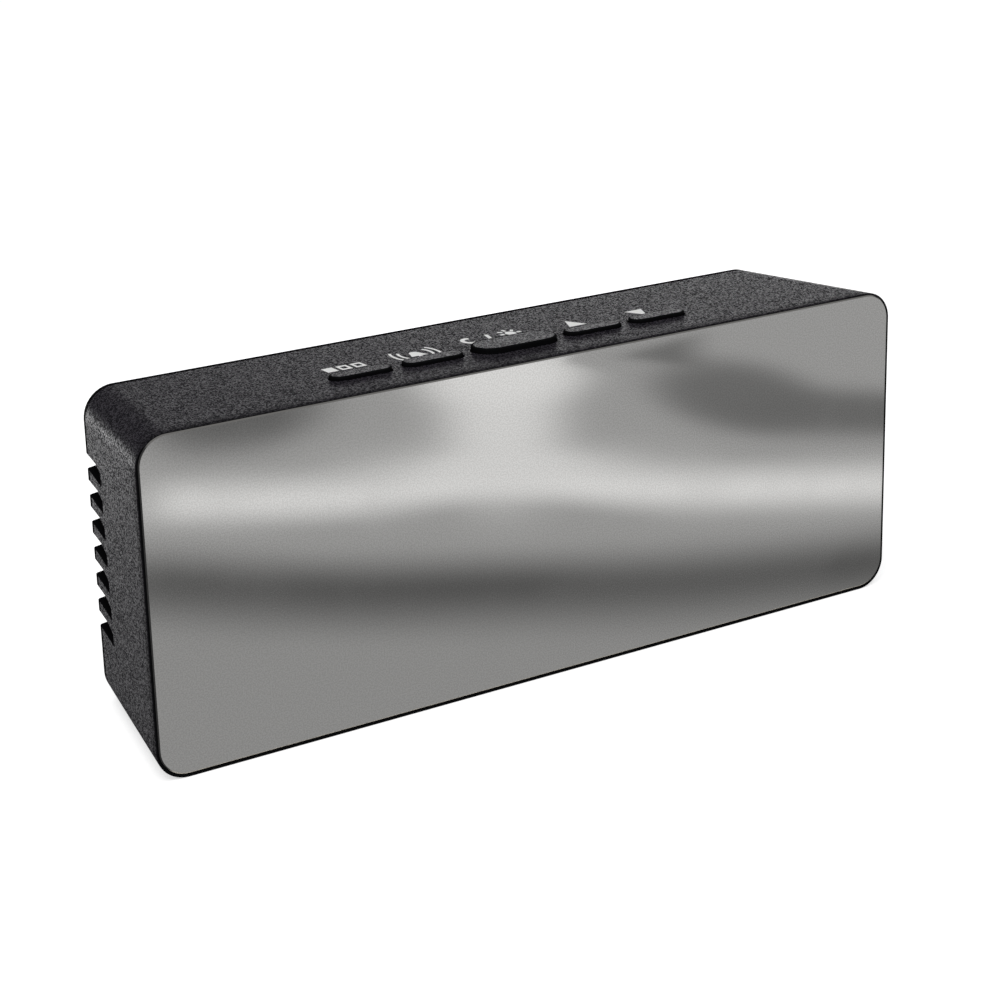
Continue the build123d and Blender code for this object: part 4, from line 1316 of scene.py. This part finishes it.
@dataclass
class Studio:
    """Floor, soft light, the forms that the mirror shows, and the camera.

    The sweeps give the level behind the clock at degrees above the horizon.
    """

    azimuth: float = -30.569
    elevation: float = 16.348
    roll: float = -1.465
    distance: float = 383.593 * MM
    aim_right: float = 0.131 * MM
    aim_up: float = 24.402 * MM
    aim_height: float = 28.4 * MM
    focal_length: float = 79.553
    sensor: float = 36.0
    view_shift: float = -0.15
    near_clip: float = 10.0 * MM
    floor: PaleFloor = PaleFloor("pale_floor")
    floor_half: float = 4.0
    floor_gap: float = 0.02 * MM
    lamp_place: Triple = (-0.3, -0.35, 0.75)
    lamp_size: float = 0.6
    lamp_power: float = 3.0
    ambient: float = 0.55
    ground_change: Pair = (20.5, 23.5)
    ground_levels: Pair = (0.44, 0.37)
    forms: tuple[Backdrop, ...] = (
        BentBand(level=0.96, middle=20.15, above=1.0, under=0.8, arch=0.003, lift=0.42),
        BentBand(level=0.125, middle=22.55, above=1.2, under=1.6, arch=0.008, lift=0.1),
        SoftOval(level=0.92, at=(0.0, 18.2), half=(1.75, 2.0), firmness=1.5, weight=0.95),
        SoftOval(level=0.96, at=(0.0, 17.0), half=(2.35, 0.85), firmness=2.0),
        SoftOval(level=0.9, at=(0.0, 19.35), half=(3.6, 0.5), firmness=1.0, weight=0.9),
        SoftWedge(level=0.44, at=(1.5, 16.75), slopes=(-0.75, 0.22), softness=0.2, reach=4.5),
        SoftWedge(level=0.21, at=(2.4, 16.63), slopes=(-0.27, 0.12), softness=0.28, reach=3.6),
        SoftOval(level=0.155, at=(-7.3, 17.75), half=(2.6, 0.95), firmness=2.0, tilt=-3.0),
        SoftOval(level=0.2, at=(6.5, 17.62), half=(2.5, 0.95), firmness=2.5, tilt=7.0),
        SoftOval(level=0.185, at=(9.6, 17.98), half=(3.2, 0.62), firmness=2.0),
        SoftOval(level=0.46, at=(-9.95, 19.6), half=(0.7, 1.2), firmness=1.0, weight=0.7),
    )
    table_sweep: tuple[Pair, ...] = (
        (-30.0, 0.12), (-22.0, 0.4), (-16.0, 1.0), (-11.0, 2.1), (-7.0, 1.1), (-3.0, 0.05), (90.0, 0.03),
    )
    sky_sweep: tuple[Pair, ...] = (
        (-30.0, 0.0), (-4.0, 0.0), (1.0, 1.9), (6.0, 1.9), (8.5, 1.0), (10.5, 0.2), (13.0, 0.0), (90.0, 0.0),
    )
    sky_edge: Pair = (0.0, 0.62)
    front_edge: Pair = (-0.1, 0.1)

    def camera_axes(self) -> Matrix:
        """Returns the camera's right, up and back directions as columns."""
        turn = math.radians(self.azimuth)
        lift = math.radians(self.elevation)
        back = Vector((math.sin(turn) * math.cos(lift), -math.cos(turn) * math.cos(lift), math.sin(lift)))
        right = Vector((0.0, 0.0, 1.0)).cross(back).normalized()
        axes = Matrix((right, back.cross(right), back)).transposed()
        return axes @ Matrix.Rotation(math.radians(self.roll), 3, "Z")

    def place_camera(self) -> None:
        """Sets the camera where the photograph was taken from."""
        data = bpy.data.cameras.new("photo_camera")
        data.lens = self.focal_length
        data.sensor_width = self.sensor
        data.shift_y = self.view_shift
        data.clip_start = self.near_clip
        camera = bpy.data.objects.new("photo_camera", data)
        axes = self.camera_axes()
        place = axes @ Vector((self.aim_right, self.aim_up, self.distance))
        place += Vector((0.0, 0.0, self.aim_height))
        camera.matrix_world = Matrix.Translation(place) @ axes.to_4x4()
        bpy.context.scene.collection.objects.link(camera)
        bpy.context.scene.camera = camera

    def lay_floor(self) -> None:
        """Lays the pale floor. Reflections look past it, at the forms."""
        mesh = bmesh.new()
        bmesh.ops.create_grid(mesh, x_segments=1, y_segments=1, size=self.floor_half)
        bmesh.ops.translate(mesh, verts=mesh.verts, vec=(0.0, 0.0, -self.floor_gap))
        floor = add_piece("floor", mesh, self.floor.material())
        floor.visible_glossy = False

    def hang_lamp(self) -> None:
        """Hangs a soft square lamp that points at the clock."""
        data = bpy.data.lights.new("key_lamp", "AREA")
        data.size = self.lamp_size
        data.energy = self.lamp_power
        lamp = bpy.data.objects.new("key_lamp", data)
        place = Vector(self.lamp_place)
        aim = Vector((0.0, 0.0, self.aim_height)) - place
        lamp.matrix_world = Matrix.Translation(place) @ aim.to_track_quat("-Z", "Y").to_matrix().to_4x4()
        lamp.visible_glossy = False
        bpy.context.scene.collection.objects.link(lamp)

    def front_pattern(self, graph: Graph, way: Source, below: Socket) -> Socket:
        """Draws what the mirror shows: the forms on an even ground.

        Args:
            graph: The world's nodes.
            way: The direction looked along.
            below: Its degrees below the horizon.

        Returns:
            The pattern's level.
        """
        heading = math.radians(self.azimuth)
        ahead = graph.along(way, (-math.sin(heading), -math.cos(heading), 0.0))
        aside = graph.along(way, (math.cos(heading), -math.sin(heading), 0.0))
        across = graph.times(graph.math("ARCTAN2", aside, ahead), math.degrees(1.0))
        look = Look(graph, across, below)
        seen = graph.remap(below, *self.ground_change, *self.ground_levels)
        for form in self.forms:
            seen = graph.blend(form.mask(look), seen, form.level)
        return seen

    @staticmethod
    def sweep_level(graph: Graph, below: Source, sweep: Sequence[Pair]) -> Socket:
        """Makes a level that changes with the height looked at.

        Args:
            graph: The world's nodes.
            below: Degrees below the horizon, of the direction looked along.
            sweep: Degrees above the horizon and the level there, in rising order.

        Returns:
            The level.
        """
        lowest, highest = sweep[0][0], sweep[-1][0]
        ramp = graph.node("ValToRGB", {0: graph.remap(below, -lowest, -highest, easing="LINEAR")})
        stops = ramp.color_ramp.elements
        for count, (angle, level) in enumerate(sweep):
            place = (angle - lowest) / (highest - lowest)
            stop = stops[count] if count < 2 else stops.new(place)
            stop.position = place
            stop.color = (level, level, level, 1.0)
        ramp.color_ramp.interpolation = "EASE"
        return ramp.outputs[0]

    def light_world(self) -> None:
        """Lights the world: white behind the clock, a pattern in reflections, even light elsewhere."""
        world = bpy.data.worlds.new("studio")
        bpy.context.scene.world = world
        world.use_nodes = True
        world.cycles.sampling_method = "NONE"
        graph = Graph(world.node_tree)
        way = graph.node("TexCoord", {}).outputs["Generated"]
        parts = graph.parts(way)
        below = graph.times(graph.math("ARCSINE", parts["Z"]), -math.degrees(1.0))
        table = self.sweep_level(graph, below, self.table_sweep)
        sky = self.sweep_level(graph, below, self.sky_sweep)
        sky = graph.times(sky, graph.remap(parts["X"], *self.sky_edge))
        front = self.front_pattern(graph, way, below)
        seen = graph.mix(graph.remap(parts["Y"], *self.front_edge), front, graph.math("ADD", table, sky))
        path = graph.node("LightPath", {}).outputs
        glossy = graph.mix(path["Is Glossy Ray"], (self.ambient,) * 3, seen)
        direct = graph.most(path["Is Camera Ray"], path["Is Transmission Ray"])
        colour = graph.mix(direct, glossy, (1.0, 1.0, 1.0))
        graph.fill(world.node_tree.nodes["Background"], {"Color": colour, "Strength": 1.0})

    def build(self) -> None:
        """Sets up the studio."""
        self.place_camera()
        self.lay_floor()
        self.light_world()
        self.hang_lamp()
        bpy.context.scene.view_settings.view_transform = "Standard"


def main() -> None:
    """Builds and dresses the clock, then the studio."""
    logging.basicConfig(level=logging.INFO, format="%(name)s: %(message)s")
    keys = KeyRow()
    rear = RearPanel()
    inside = (BatteryBay(), DisplayModule(), SwitchesAndLeads())
    for assembly in (CaseShell(), MirrorPlate(), keys, rear, *inside):
        assembly.dress()
    keys.build()
    rear.build()
    Studio().build()


if __name__ == "__main__":
    main()
